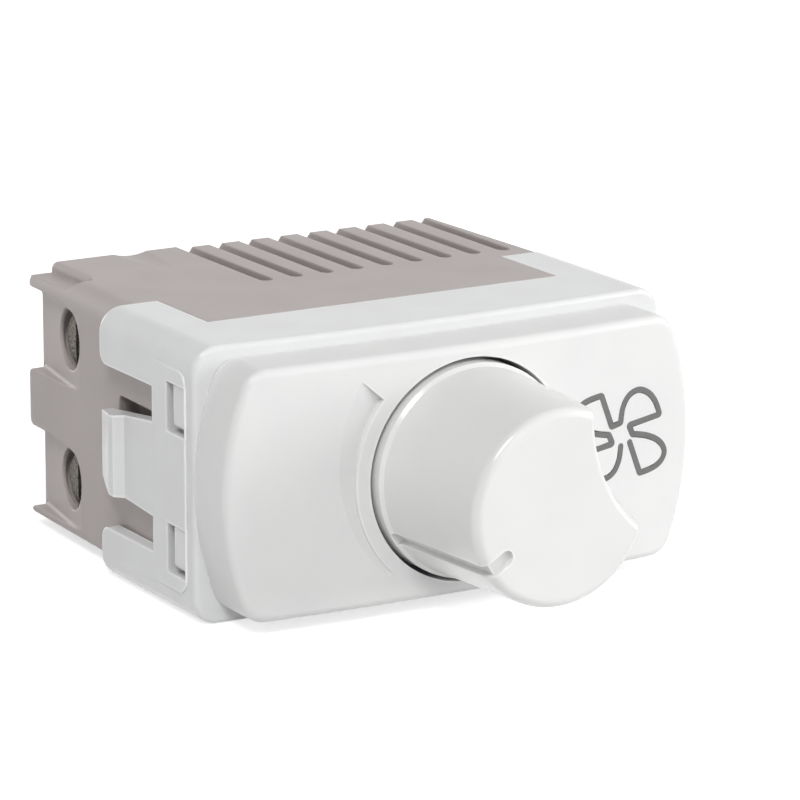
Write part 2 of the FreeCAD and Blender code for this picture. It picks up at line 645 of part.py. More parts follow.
def knob_clip():
    """Leaf spring between the knob's socket and the shaft's flat."""
    half = CLIP_WIDTH / 2
    clip = box(SHAFT_FLAT, SHAFT_FLAT + CLIP_THICK, shaft_tip_y, shaft_tip_y + CLIP_LENGTH, -half, half)
    return rounded_along(clip, CLIP_ROUND, RIGHT)


def control_shaft():
    """Round shaft with a flat at the knob's end."""
    shaft = rod_y(SHAFT_RADIUS, shaft_tip_y, pot_rear_y - WIPER_GAP)
    return shaft.cut(box(SHAFT_FLAT, SHAFT_RADIUS + PAST, shaft_tip_y - PAST, shaft_tip_y + SHAFT_FLAT_LENGTH,
                         -PAST, PAST))


def wiper():
    """Disc on the shaft with a brush that runs on the track."""
    disc_rear = pot_rear_y - WIPER_GAP
    disc = rod_y(WIPER_RADIUS, disc_rear - WIPER_THICK, disc_rear)
    half = BRUSH_SIZE / 2
    brush = box(BRUSH_RADIUS - half, BRUSH_RADIUS + half, disc_rear - WIPER_THICK / 2, pot_rear_y - BRUSH_GAP,
                -half, half)
    brush.rotate(V(0, 0, 0), REAR, -POINTER_ANGLE)
    return disc.fuse(brush).cut(rod_y(SHAFT_RADIUS, disc_rear - PAST, disc_rear + PAST))


def pot_bush():
    """Bush that guides the shaft and passes through the frame's wall."""
    inner_y = WEB_REAR + POT_FRONT
    bush = rod_y(BUSH_RADIUS, -BUSH_REACH, inner_y + BUSH_FLANGE)
    bush = bush.fuse(rod_y(BUSH_FLANGE_RADIUS, inner_y, inner_y + BUSH_FLANGE))
    return bush.cut(rod_y(SHAFT_RADIUS + SHAFT_GAP, -BUSH_REACH - PAST, inner_y + PAST)).removeSplitter()


def pot_case():
    """Cup of the control, open towards its track."""
    cup = rod_y(POT_RADIUS, WEB_REAR, pot_rear_y)
    cup = cup.cut(rod_y(POT_RADIUS - POT_WALL, WEB_REAR + POT_FRONT, pot_rear_y + PAST))
    return cup.cut(rod_y(BUSH_RADIUS + SOCKET_GAP, WEB_REAR - PAST, WEB_REAR + PAST))


def track_leads():
    """Places of the control's three legs."""
    return [(step * TRACK_LEG_PITCH, -TRACK_LEG_DROP) for step in (-1, 0, 1)]


def pot_track():
    """Track plate that closes the control's case, with three legs into the board."""
    plate = rod_y(POT_RADIUS, pot_rear_y, track_rear_y)
    return plate.multiFuse([lead(x, z, pot_rear_y, board_rear_y + LEAD_TAIL) for x, z in track_leads()])


def bush_washer():
    """Washer between the frame's wall and the nut."""
    washer = rod_y(WASHER_RADIUS, SPOT_FACE_DEPTH - WASHER_THICK, SPOT_FACE_DEPTH)
    return washer.cut(rod_y(BUSH_RADIUS + SOCKET_GAP, -PAST, PAST))


def bush_nut():
    """Hexagon nut on the bush."""
    rear = SPOT_FACE_DEPTH - WASHER_THICK
    corner = NUT_ACROSS / math.sqrt(3)
    angles = [step * math.pi / 3 for step in range(6)]
    points = [V(corner * math.cos(angle), rear - NUT_THICK, corner * math.sin(angle)) for angle in angles]
    return prism(points, V(0, NUT_THICK, 0)).cut(rod_y(BUSH_RADIUS + SOCKET_GAP, rear - PAST, rear + PAST))


def lead(x, z, y0, y1):
    """Square lead along Y."""
    half = LEAD / 2
    return box(x - half, x + half, y0, y1, z - half, z + half)


def axial_leads(x, length):
    """Places where the two leads of an upright axial part enter the board."""
    reach = length / 2 + AXIAL_LEG
    return [(x, -reach), (x, reach)]


def axial_part(radius, length, x):
    """Axial part lying along Z on the board's front, with bent leads."""
    axis_y = board_front_y - AXIAL_LIFT - radius
    body = Part.makeCylinder(radius, length, V(x, axis_y, -length / 2), UP)
    reach = length / 2 + AXIAL_LEG + LEAD / 2
    half = LEAD / 2
    wire = box(x - half, x + half, axis_y - half, axis_y + half, -reach, reach)
    legs = [lead(x, z, axis_y - half, board_rear_y + LEAD_TAIL) for x, z in axial_leads(x, length)]
    return body.multiFuse([wire] + legs).removeSplitter()


def resistor_places():
    """Places of the resistors, right of the control."""
    return [POT_RADIUS + RESISTOR_FIRST + step * RESISTOR_PITCH for step in range(RESISTOR_COUNT)]


def resistors():
    """Row of resistors."""
    return Part.makeCompound([axial_part(RESISTOR_RADIUS, RESISTOR_LENGTH, x) for x in resistor_places()])


def timing_leads():
    """Places of the timing capacitor's leads."""
    x = timing_x + TIMING_THICK / 2
    return [(x, side * TIMING_PITCH / 2) for side in ENDS]


def timing_capacitor():
    """Small film capacitor on the board's front."""
    half = TIMING_LENGTH / 2
    body = box(timing_x, timing_x + TIMING_THICK, board_front_y - TIMING_HEIGHT, board_front_y, -half, half)
    body = rounded_along(body, CAPACITOR_ROUND, REAR)
    return body.multiFuse([lead(x, z, board_front_y, board_rear_y + LEAD_TAIL) for x, z in timing_leads()])


def capacitor_leads():
    """Places of the suppression capacitor's leads."""
    z = floor_z + CAPACITOR_THICK / 2
    return [(CAPACITOR_X + step * CAPACITOR_PITCH / 2, z) for step in ENDS]


def suppression_capacitor():
    """Film capacitor on the housing's floor, behind the board."""
    half = CAPACITOR_LENGTH / 2
    body = box(CAPACITOR_X - half, CAPACITOR_X + half, board_rear_y, board_rear_y + CAPACITOR_HEIGHT,
               floor_z, floor_z + CAPACITOR_THICK)
    body = rounded_along(body, CAPACITOR_ROUND, REAR)
    return body.multiFuse([lead(x, z, board_front_y - LEAD_TAIL, board_rear_y) for x, z in capacitor_leads()])


def ring(outer, inner, y0, y1):
    """Ring about the choke's axis."""
    hole = rod_y(inner, y0 - PAST, y1 + PAST, CAPACITOR_X, choke_z)
    return rod_y(outer, y0, y1, CAPACITOR_X, choke_z).cut(hole)


def choke_core():
    """Powder core of the choke."""
    return ring(CHOKE_CORE_RADIUS, CHOKE_CORE_HOLE, choke_y, choke_y + CHOKE_CORE_HEIGHT)


def choke_leads():
    """Places of the winding's two ends."""
    radius = CHOKE_CORE_RADIUS + CHOKE_WIRE / 2
    angle = math.radians(CHOKE_LEAD_ANGLE)
    z = choke_z - radius * math.cos(angle)
    return [(CAPACITOR_X + side * radius * math.sin(angle), z) for side in ENDS]


def choke_winding():
    """Winding round most of the core, open at the bottom, with two ends into the board."""
    wound = ring(CHOKE_CORE_RADIUS + CHOKE_WIRE, CHOKE_CORE_HOLE - CHOKE_WIRE, board_rear_y,
                 choke_y + CHOKE_CORE_HEIGHT + CHOKE_WIRE)
    reach = 2 * choke_radius
    spread = reach * math.tan(math.radians((360 - CHOKE_SPAN) / 2))
    gap = prism([V(CAPACITOR_X, board_rear_y - PAST, choke_z),
                 V(CAPACITOR_X - spread, board_rear_y - PAST, choke_z - reach),
                 V(CAPACITOR_X + spread, board_rear_y - PAST, choke_z - reach)],
                V(0, CHOKE_CORE_HEIGHT + 2 * PAST, 0))
    ends = [lead(x, z, board_front_y - LEAD_TAIL, choke_y) for x, z in choke_leads()]
    return wound.cut(gap).multiFuse(ends).cut(choke_core()).removeSplitter()


def triac_leads():
    """Places of the switching device's three legs."""
    return [(triac_x + TRIAC_THICK / 2, step * TRIAC_LEG_PITCH) for step in (-1, 0, 1)]


def triac():
    """Switching device, flat against the heat sink."""
    half = TRIAC_WIDTH / 2
    body = box(triac_x, sink_x, triac_y, triac_end_y, -half, half)
    front_edges = [edge for edge in body.Edges if edge.BoundBox.XMax < triac_x + TINY]
    body = body.makeChamfer(CAPACITOR_ROUND, front_edges)
    body = body.cut(rod_x(TRIAC_HOLE_RADIUS, triac_x - PAST, sink_x + PAST, sink_screw_y, 0.0))
    return body.multiFuse([lead(x, z, board_front_y - LEAD_TAIL, triac_y) for x, z in triac_leads()])


def heat_sink():
    """Folded plate on the right end wall, its lip under the cooling slots."""
    y0 = board_rear_y + SINK_LIFT
    y1 = rear_inner_y - SINK_REAR_GAP
    top = ceiling_z - SINK_MARGIN
    plate = box(sink_x, cavity_half, y0, y1, floor_z + SINK_MARGIN, top)
    lip = box(sink_x - SINK_LIP, cavity_half, y0, y1, top - SINK_THICK, top)
    plate = plate.fuse(lip).removeSplitter()
    fold = [edge for edge in edges_along(plate, REAR)
            if edge.CenterOfMass.x > cavity_half - TINY and edge.CenterOfMass.z > top - TINY]
    plate = plate.makeFillet(SINK_THICK, fold)
    clear_radius = SINK_SCREW_RADIUS + SINK_SCREW_GAP
    return plate.cut(rod_x(clear_radius, sink_x - PAST, cavity_half + PAST, sink_screw_y, 0.0))


def heat_sink_screw():
    """Screw that clamps the switching device to the heat sink."""
    head = rod_x(SINK_SCREW_HEAD_RADIUS, triac_x - SINK_SCREW_HEAD, triac_x, sink_screw_y, 0.0)
    return head.fuse(rod_x(SINK_SCREW_RADIUS, triac_x, cavity_half, sink_screw_y, 0.0)).removeSplitter()


def circuit_board():
    """Board on the housing's ledges, with holes for every lead and tab."""
    board = box(-board_half, board_half, board_front_y, board_rear_y, board_bottom, board_top)
    places = track_leads() + timing_leads() + capacitor_leads() + choke_leads() + triac_leads()
    for x in resistor_places():
        places += axial_leads(x, RESISTOR_LENGTH)
    places += axial_leads(diac_x, DIAC_LENGTH)
    places += axial_leads(fuse_x, FUSE_LENGTH)
    half = LEAD / 2 + LEAD_GAP
    holes = [box(x - half, x + half, board_front_y - PAST, board_rear_y + PAST, z - half, z + half)
             for x, z in places]
    for z in terminal_heights.values():
        holes.append(box(bar_x - LEAD_GAP, bar_face_x + LEAD_GAP, board_front_y - PAST, board_rear_y + PAST,
                         z - BAR_TAB_HALF - LEAD_GAP, z + BAR_TAB_HALF + LEAD_GAP))
    return board.cut(Part.makeCompound(holes))


def contact_bar(z):
    """Strip from the board to one terminal, with a tab through the board."""
    bar_end = terminal_y + CAGE_LENGTH / 2 + BAR_TAIL
    strip = box(bar_x, bar_face_x, board_rear_y, bar_end, z - BAR_HALF, z + BAR_HALF)
    tab = box(bar_x, bar_face_x, board_front_y - LEAD_TAIL, board_rear_y, z - BAR_TAB_HALF, z + BAR_TAB_HALF)
    return strip.fuse(tab).removeSplitter()


def terminal_cage(z):
    """Rising cage round the contact bar, threaded on its screw."""
    front = terminal_y - CAGE_LENGTH / 2
    rear = terminal_y + CAGE_LENGTH / 2
    cage = box(nut_end_x - CAGE_NUT, cage_end_x, front, rear, z - CAGE_HALF, z + CAGE_HALF)
    cage = rounded_along(cage, CAGE_SIDE, REAR)
    room = CAGE_HALF - CAGE_SIDE
    cage = cage.cut(box(nut_end_x, cage_far_x, front - PAST, rear + PAST, z - room, z + room))
    return cage.cut(rod_x(SCREW_RADIUS + THREAD_GAP, nut_end_x - CAGE_NUT - PAST, nut_end_x, terminal_y, z))


def terminal_screw(z):
    """Slotted screw whose tip bears on the contact bar."""
    head = rod_x(SCREW_HEAD_RADIUS, screw_head_x, shank_x, terminal_y, z)
    screw = head.fuse(rod_x(SCREW_RADIUS, shank_x, shank_end_x, terminal_y, z))
    half = SCREW_SLOT_WIDTH / 2
    slot = box(screw_head_x - PAST, screw_head_x + SCREW_SLOT_DEPTH, terminal_y - half, terminal_y + half,
               z - SCREW_HEAD_RADIUS - PAST, z + SCREW_HEAD_RADIUS + PAST)
    return screw.cut(slot).removeSplitter()


def rear_housing():
    """Drafted box with a spigot, arm seats, cooling slots, terminal holes and a stepped cavity."""
    radii = (HOUSING_FIN_CORNER, HOUSING_LOWER_CORNER, HOUSING_LOWER_CORNER, HOUSING_CORNER)
    front = rounded_rectangle(housing_half, housing_bottom, housing_top, radii, housing_front_y)
    rear = rounded_rectangle(rear_half, housing_bottom, housing_top, radii, rear_y)
    shell = Part.makeLoft([front, rear], True, True)
    shell = shell.fuse(tube_block(housing_half, FIT - wall_z, wall_z - FIT, FRAME_CORNER - FRAME_WALL,
                                  seam_y - SPIGOT_LENGTH, housing_front_y + FIT))
    shell = shell.cut(arm_seats()).cut(rear_top_cuts()).cut(cooling_slots())
    for side in ENDS:
        shell = shell.cut(latch_pocket(side))
    for z in terminal_heights.values():
        shell = shell.cut(terminal_inset(z)).cut(inset_corner(z - INSET_BELOW, -1))
        shell = shell.cut(inset_corner(z + INSET_ABOVE, 1))
    shell = shell.cut(cavity())
    for z in terminal_heights.values():
        shell = shell.cut(rod_x(ACCESS_RADIUS, -half_w, -cavity_half + PAST, terminal_y, z))
        shell = shell.cut(rod_x(SCREW_ROOM_RADIUS, -cavity_half - SCREW_ROOM, -cavity_half + PAST,
                                terminal_y, z))
        shell = shell.cut(rod_y(WIRE_RADIUS, rear_inner_y - PAST, rear_y + PAST, wire_x, z))
        shell = shell.cut(Part.makeCone(WIRE_RADIUS, WIRE_RADIUS + WIRE_LEAD_IN, WIRE_LEAD_IN,
                                        V(wire_x, rear_y - WIRE_LEAD_IN, z), REAR))
    return shell.removeSplitter()


def arm_seats():
    """Cutter of the seats for the frame's arms in the four long corners."""
    core = tube_block(housing_half, FIT - wall_z, wall_z - FIT, FRAME_CORNER - FRAME_WALL, -PAST, rear_y)
    seats = [mirrored_box(side, ARM_INNER_X - FIT, half_w + PAST, seam_y - PAST, arm_end_y + FIT,
                          -half_h - PAST, half_h + PAST) for side in ENDS]
    return Part.makeCompound(seats).cut(core)


def cooling_slots():
    """Cutter of the row of round-ended slots in the top, open at the rear."""
    first = rear_half - SLOT_EDGE_FIN - SLOT_WIDTH - (SLOT_COUNT - 1) * SLOT_PITCH
    front = seam_y + SLOT_FRONT + SLOT_WIDTH / 2
    bottom = housing_top - SLOT_DEPTH
    slots = []
    for step in range(SLOT_COUNT):
        left = first + step * SLOT_PITCH
        middle = left + SLOT_WIDTH / 2
        slots.append(box(left, left + SLOT_WIDTH, front, rear_y + PAST, bottom, housing_top + PAST))
        slots.append(Part.makeCylinder(SLOT_WIDTH / 2, SLOT_DEPTH + PAST, V(middle, front, bottom), UP))
    bevel = prism([V(first, rear_y + PAST, housing_top - FIN_BEVEL - PAST),
                   V(first, rear_y - FIN_BEVEL, housing_top),
                   V(first, rear_y - FIN_BEVEL, housing_top + PAST),
                   V(first, rear_y + PAST, housing_top + PAST)], V(half_w - first, 0, 0))
    return slots[0].multiFuse(slots[1:] + [bevel])


def rear_top_cuts():
    """Cutter of the corner step and the shallow dip in the top's rear edge."""
    step_x = NOTCH_WIDTH - rear_half
    floor = housing_top - NOTCH_DEPTH
    front = rear_y - NOTCH_LENGTH
    step = prism([V(-half_w, front, floor), V(-half_w, rear_y + PAST, floor),
                  V(-half_w, rear_y + PAST, housing_top + PAST),
                  V(-half_w, front - NOTCH_SLOPE, housing_top + PAST),
                  V(-half_w, front - NOTCH_SLOPE, housing_top)], V(step_x + half_w, 0, 0))
    edge_x = step_x + NOTCH_EDGE
    edge_z = housing_top - NOTCH_EDGE
    edge = box(step_x, edge_x, front, rear_y + PAST, edge_z, housing_top + PAST)
    edge = edge.cut(rod_y(NOTCH_EDGE, front - PAST, rear_y + 2 * PAST, edge_x, edge_z))
    dip_radius = (DIP_WIDTH ** 2 / 4 + DIP_DEPTH ** 2) / (2 * DIP_DEPTH)
    dip_start = V(DIP_LEFT + DIP_WIDTH / 2 - rear_half, rear_y - DIP_LENGTH, housing_top + dip_radius)
    dip = Part.makeCylinder(dip_radius, DIP_LENGTH + PAST, dip_start, V(0, DIP_LENGTH, -DIP_DEPTH))
    return step.multiFuse([edge, dip])


def latch_pocket(side):
    """Cutter of the relief behind one latch tongue."""
    reach = LATCH_HALF + POCKET_GAP
    pocket = mirrored_box(side, housing_half - POCKET_DEPTH, half_w + PAST, seam_y - PAST,
                          seam_y + POCKET_LENGTH, -reach, reach)
    rear_edges = [edge for edge in edges_along(pocket, RIGHT) if edge.CenterOfMass.y > seam_y]
    return pocket.makeFillet(POCKET_ROUND, rear_edges)


def terminal_inset(z):
    """Cutter of the tapered inset from the rear edge to one access hole."""
    rear_x = INSET_DEPTH - rear_half
    front_y = rear_y - INSET_LENGTH
    front_x = -rear_half - HOUSING_DRAFT * INSET_LENGTH / HOUSING_DEPTH
    far = -half_w - PAST
    plan = ((far, front_y), (front_x, front_y), (rear_x, rear_y), (rear_x, rear_y + PAST),
            (far, rear_y + PAST))
    points = [V(x, y, z - INSET_BELOW) for x, y in plan]
    inset = prism(points, V(0, 0, INSET_BELOW + INSET_ABOVE))
    taper = V(rear_x - front_x, rear_y - front_y, 0)
    low, high = sorted(edges_along(inset, taper), key=lambda edge: edge.CenterOfMass.z)
    return inset.makeFillet(INSET_UPPER_ROUND, [high]).makeFillet(INSET_LOWER_ROUND, [low])


def inset_corner(edge_z, lift):
    """Cutter that rounds the rear corner of the block above or below an inset."""
    corner_y = rear_y - INSET_CORNER
    corner_z = edge_z + lift * INSET_CORNER
    low, high = sorted((corner_z, edge_z - lift * INSET_LOWER_ROUND))
    block = box(-half_w, INSET_DEPTH - rear_half, corner_y, rear_y + PAST, low, high)
    return block.cut(rod_x(INSET_CORNER, -half_w - PAST, half_w, corner_y, corner_z))


def cavity():
    """Cutter of the inside: a lower room under the slots and a taller one for the terminals."""
    front = seam_y - SPIGOT_LENGTH - PAST
    room = box(-cavity_half, cavity_half, front, rear_inner_y, floor_z, ceiling_z)
    tall = box(-cavity_half, partition_x, board_rear_y, rear_inner_y, floor_z, left_ceiling_z)
    partition = box(partition_x, partition_x + PARTITION, partition_front_y, rear_inner_y, floor_z, ceiling_z)
    middle = sum(terminal_heights.values()) / 2
    rib = box(-cavity_half, partition_x, partition_front_y, rear_inner_y, middle - RIB / 2, middle + RIB / 2)
    room = room.fuse(tall).cut(partition).cut(rib)
    for side in ENDS:
        room = room.cut(mirrored_box(side, cavity_half - LEDGE_REACH, cavity_half, board_rear_y,
                                     board_rear_y + LEDGE_LENGTH, floor_z, left_ceiling_z))
    return room


def pieces():
    """Every piece of the module by name."""
    made = {
        "front_cover": front_cover(), "mounting_frame": mounting_frame(), "rear_housing": rear_housing(),
        "knob": knob(), "knob_clip": knob_clip(), "control_shaft": control_shaft(), "wiper": wiper(),
        "pot_bush": pot_bush(), "pot_case": pot_case(), "pot_track": pot_track(),
        "bush_washer": bush_washer(), "bush_nut": bush_nut(), "circuit_board": circuit_board(),
        "resistors": resistors(), "timing_capacitor": timing_capacitor(),
        "diac": axial_part(DIAC_RADIUS, DIAC_LENGTH, diac_x),
        "fuse": axial_part(FUSE_RADIUS, FUSE_LENGTH, fuse_x),
        "suppression_capacitor": suppression_capacitor(),
        "choke_core": choke_core(), "choke_winding": choke_winding(),
        "triac": triac(), "heat_sink": heat_sink(), "heat_sink_screw": heat_sink_screw(),
    }
    for place, z in terminal_heights.items():
        made["contact_bar_" + place] = contact_bar(z)
        made["terminal_cage_" + place] = terminal_cage(z)
        made["terminal_screw_" + place] = terminal_screw(z)
    return made


os.makedirs("parts", exist_ok=True)
for node, shape in pieces().items():
    shape.exportStep("parts/" + node + ".step")
    print(node, "solids", len(shape.Solids), "valid", shape.isValid())
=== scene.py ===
"""Looks of the rotary fan speed control: finishes, printed symbol, wound choke, screws, solder and studio."""
import logging
import math
from dataclasses import dataclass
from enum import Enum
from typing import ClassVar

import bpy
from bpy.types import Material, Node, NodeInputs, NodeOutputs, NodeSocket, NodeTree, Object
from mathutils import Matrix, Vector


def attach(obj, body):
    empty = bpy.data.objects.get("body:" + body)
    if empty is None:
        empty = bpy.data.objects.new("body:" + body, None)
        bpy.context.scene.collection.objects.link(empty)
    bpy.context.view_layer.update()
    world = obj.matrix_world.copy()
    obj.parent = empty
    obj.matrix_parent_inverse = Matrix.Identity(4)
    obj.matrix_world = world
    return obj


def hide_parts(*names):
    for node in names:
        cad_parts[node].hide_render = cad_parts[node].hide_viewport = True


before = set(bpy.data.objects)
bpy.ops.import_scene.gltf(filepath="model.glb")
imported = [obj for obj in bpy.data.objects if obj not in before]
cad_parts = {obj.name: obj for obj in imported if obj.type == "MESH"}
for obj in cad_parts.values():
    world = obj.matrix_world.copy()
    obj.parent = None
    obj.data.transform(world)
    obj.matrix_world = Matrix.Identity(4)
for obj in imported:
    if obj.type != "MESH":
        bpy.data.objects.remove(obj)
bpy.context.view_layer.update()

LOG = logging.getLogger("fan_control")
MM = 0.001
Colour = tuple[float, float, float, float]
Point = tuple[float, float, float]
WHITE: Colour = (1.0, 1.0, 1.0, 1.0)


class Axis(Enum):
    """Axis that a pattern or a bend follows, as the number of its coordinate."""

    X = 0
    Y = 1
    Z = 2


class Socket(Enum):
    """Kinds of sockets on the node groups."""

    COLOUR = "NodeSocketColor"
    NUMBER = "NodeSocketFloat"
    COUNT = "NodeSocketInt"
    VECTOR = "NodeSocketVector"
    FINISH = "NodeSocketMaterial"
    SHAPE = "NodeSocketGeometry"


class Leads(Enum):
    """Where the bare leads of a part lie, as the comparison with the end of its body."""

    BEYOND = "GREATER_THAN"
    BEFORE = "LESS_THAN"


class Board(Enum):
    """Face of the circuit board that a joint of solder sits on."""

    FRONT = 1
    REAR = -1


def srgb(red: int, green: int, blue: int) -> Colour:
    """Scene-linear colour of a written one.

    Args:
        red: Red from 0 to 255.
        green: Green from 0 to 255.
        blue: Blue from 0 to 255.

    Returns:
        The linear colour with full alpha.
    """
    shares = [value / 255 for value in (red, green, blue)]
    light = [share / 12.92 if share <= 0.04045 else ((share + 0.055) / 1.055) ** 2.4 for share in shares]
    return (*light, 1.0)


class Wiring:
    """Places and links the nodes of one tree."""

    def __init__(self, tree: NodeTree) -> None:
        """Keep the tree that is wired."""
        self.tree = tree

    def add(self, kind: str, inputs: dict | None = None, **settings: object) -> Node:
        """Place a node, set its properties and feed its inputs.

        Args:
            kind: Type name of the node.
            inputs: Values or sockets by input name or number.
            **settings: Properties of the node.

        Returns:
            The new node.
        """
        node = self.tree.nodes.new(kind)
        for name, value in settings.items():
            setattr(node, name, value)
        for key, value in (inputs or {}).items():
            self.feed(node.inputs[key], value)
        return node

    def feed(self, socket: NodeSocket, value: object) -> None:
        """Link a socket into an input, or set its value.

        Args:
            socket: The input.
            value: A socket or a plain value.
        """
        if isinstance(value, NodeSocket):
            self.tree.links.new(value, socket)
        else:
            socket.default_value = value

    def group(self, group: "ShaderGroup", inputs: dict[str, object]) -> NodeOutputs:
        """Place a shader group with its inputs and return its outputs."""
        return self.add("ShaderNodeGroup", inputs, node_tree=group.tree()).outputs

    def math(self, operation: str, *values: object) -> NodeSocket:
        """Place one Math node and return its result."""
        return self.add("ShaderNodeMath", dict(enumerate(values)), operation=operation).outputs[0]

    def blend(self, share: object, first: object, second: object, kind: str = "MIX") -> NodeSocket:
        """Place one colour Mix node and return its result."""
        # A Mix node's sockets share names, so its factor and two colours go by number
        inputs = {0: share, 6: first, 7: second}
        return self.add("ShaderNodeMix", inputs, data_type="RGBA", blend_type=kind).outputs[2]

    def ramp(self, value: object, low: float, high: float) -> NodeSocket:
        """Place one Map Range node from low to high and return its result."""
        return self.add("ShaderNodeMapRange", {0: value, 1: low, 2: high}).outputs[0]

    def place(self) -> NodeSocket:
        """Place one Texture Coordinate node and return the piece's own coordinates."""
        return self.add("ShaderNodeTexCoord").outputs["Object"]

    def along(self, vector: NodeSocket, axis: Axis) -> NodeSocket:
        """Place one Separate XYZ node and return one coordinate."""
        return self.add("ShaderNodeSeparateXYZ", {0: vector}).outputs[axis.value]

    def noise(self, vector: object, scale: object, detail: float) -> NodeSocket:
        """Place one Noise node and return its value."""
        return self.add("ShaderNodeTexNoise", {"Vector": vector, "Scale": scale, "Detail": detail}).outputs[0]


def add_sockets(tree: NodeTree, side: str, sockets: dict[str, Socket]) -> None:
    """Give a node group its named sockets.

    Args:
        tree: Tree of the group.
        side: INPUT or OUTPUT.
        sockets: Kind of each socket by its name.
    """
    for name, kind in sockets.items():
        tree.interface.new_socket(name=name, in_out=side, socket_type=kind.value)


class ShaderGroup:
    """A shader node group with named inputs and outputs, built once."""

    name: str = ""
    inputs: dict[str, Socket] = {}
    outputs: dict[str, Socket] = {}

    def tree(self) -> NodeTree:
        """Return the group's tree, made on first use."""
        return bpy.data.node_groups.get(self.name) or self.build()

    def build(self) -> NodeTree:
        """Make the group's sockets and wire its inside.

        Returns:
            The new node tree.
        """
        tree = bpy.data.node_groups.new(self.name, "ShaderNodeTree")
        add_sockets(tree, "INPUT", self.inputs)
        add_sockets(tree, "OUTPUT", self.outputs)
        wiring = Wiring(tree)
        entry = wiring.add("NodeGroupInput")
        self.wire(wiring, entry.outputs, wiring.add("NodeGroupOutput").inputs)
        return tree

    def wire(self, wiring: Wiring, given: NodeOutputs, put: NodeInputs) -> None:
        """Wire the inside of the group.

        Args:
            wiring: Wiring of the group's tree.
            given: Sockets of the group's input node.
            put: Sockets of the group's output node.
        """
        raise NotImplementedError


class MouldedSkin(ShaderGroup):
    """Broad flow mottle and a fine spark-eroded grain of a moulded surface."""

    name = "moulded_skin"
    inputs = {"Colour": Socket.COLOUR, "Tint": Socket.COLOUR, "Patch Scale": Socket.NUMBER,
              "Grain Scale": Socket.NUMBER, "Roughness": Socket.NUMBER, "Spread": Socket.NUMBER}
    outputs = {"Colour": Socket.COLOUR, "Roughness": Socket.NUMBER, "Height": Socket.NUMBER}

    PATCH_DETAIL = 3.0
    GRAIN_DETAIL = 2.0
    MOTTLE_RANGE = (0.35, 0.65)
    GRAIN_MEAN = 0.5

    def wire(self, wiring: Wiring, given: NodeOutputs, put: NodeInputs) -> None:
        """Wire the mottle to the colour and the grain to roughness and height.

        Args:
            wiring: Wiring of the group's tree.
            given: Sockets of the group's input node.
            put: Sockets of the group's output node.
        """
        place = wiring.place()
        patch = wiring.noise(place, given["Patch Scale"], self.PATCH_DETAIL)
        mottle = wiring.ramp(patch, *self.MOTTLE_RANGE)
        wiring.feed(put["Colour"], wiring.blend(mottle, given["Colour"], given["Tint"]))
        grain = wiring.noise(place, given["Grain Scale"], self.GRAIN_DETAIL)
        shift = wiring.math("SUBTRACT", grain, self.GRAIN_MEAN)
        wiring.feed(put["Roughness"], wiring.math("MULTIPLY_ADD", shift, given["Spread"], given["Roughness"]))
        wiring.feed(put["Height"], grain)


class EdgeHighlight(ShaderGroup):
    """Painted highlight: lighter colour along the outer edges of a moulding, standing in for the light that those
    edges catch.
    """

    name = "painted_edge_highlight"
    inputs = {"Colour": Socket.COLOUR, "Highlight Colour": Socket.COLOUR, "Width": Socket.NUMBER}
    outputs = {"Colour": Socket.COLOUR}

    SAMPLES = 8
    THIN_RANGE = (0.06, 0.42)

    def wire(self, wiring: Wiring, given: NodeOutputs, put: NodeInputs) -> None:
        """Wire the thinness just under the surface to the colour, as a painted highlight on the outer edges.

        Args:
            wiring: Wiring of the group's tree.
            given: Sockets of the group's input node.
            put: Sockets of the group's output node.
        """
        under = wiring.add("ShaderNodeAmbientOcclusion", {"Distance": given["Width"]}, samples=self.SAMPLES,
                           inside=True, only_local=True)
        mask = wiring.ramp(wiring.math("SUBTRACT", 1.0, under.outputs["AO"]), *self.THIN_RANGE)
        wiring.feed(put["Colour"], wiring.blend(mask, given["Colour"], given["Highlight Colour"]))


class WorkedMetal(ShaderGroup):
    """Drawn, rolled or turned lines and dull patches of a metal surface."""

    name = "worked_metal"
    inputs = {"Colour": Socket.COLOUR, "Dull": Socket.COLOUR, "Stretch": Socket.VECTOR, "Line Scale": Socket.NUMBER,
              "Patch Scale": Socket.NUMBER, "Roughness": Socket.NUMBER, "Spread": Socket.NUMBER}
    outputs = {"Colour": Socket.COLOUR, "Roughness": Socket.NUMBER, "Height": Socket.NUMBER}

    PATCH_DETAIL = 4.0
    LINE_DETAIL = 2.0
    DULL_RANGE = (0.4, 0.7)
    DULL_SHARE = 0.5
    LINE_MEAN = 0.5

    def wire(self, wiring: Wiring, given: NodeOutputs, put: NodeInputs) -> None:
        """Wire dull patches to the colour, and the lines to roughness and height.

        Args:
            wiring: Wiring of the group's tree.
            given: Sockets of the group's input node.
            put: Sockets of the group's output node.
        """
        place = wiring.place()
        patch = wiring.noise(place, given["Patch Scale"], self.PATCH_DETAIL)
        dull = wiring.ramp(patch, *self.DULL_RANGE)
        wiring.feed(put["Colour"], wiring.blend(dull, given["Colour"], given["Dull"]))
        drawn = wiring.add("ShaderNodeVectorMath", {0: place, 1: given["Stretch"]}, operation="MULTIPLY")
        lines = wiring.noise(drawn.outputs[0], given["Line Scale"], self.LINE_DETAIL)
        both = wiring.math("ADD", lines, wiring.math("MULTIPLY", dull, self.DULL_SHARE))
        shift = wiring.math("SUBTRACT", both, self.LINE_MEAN)
        wiring.feed(put["Roughness"], wiring.math("MULTIPLY_ADD", shift, given["Spread"], given["Roughness"]))
        wiring.feed(put["Height"], lines)


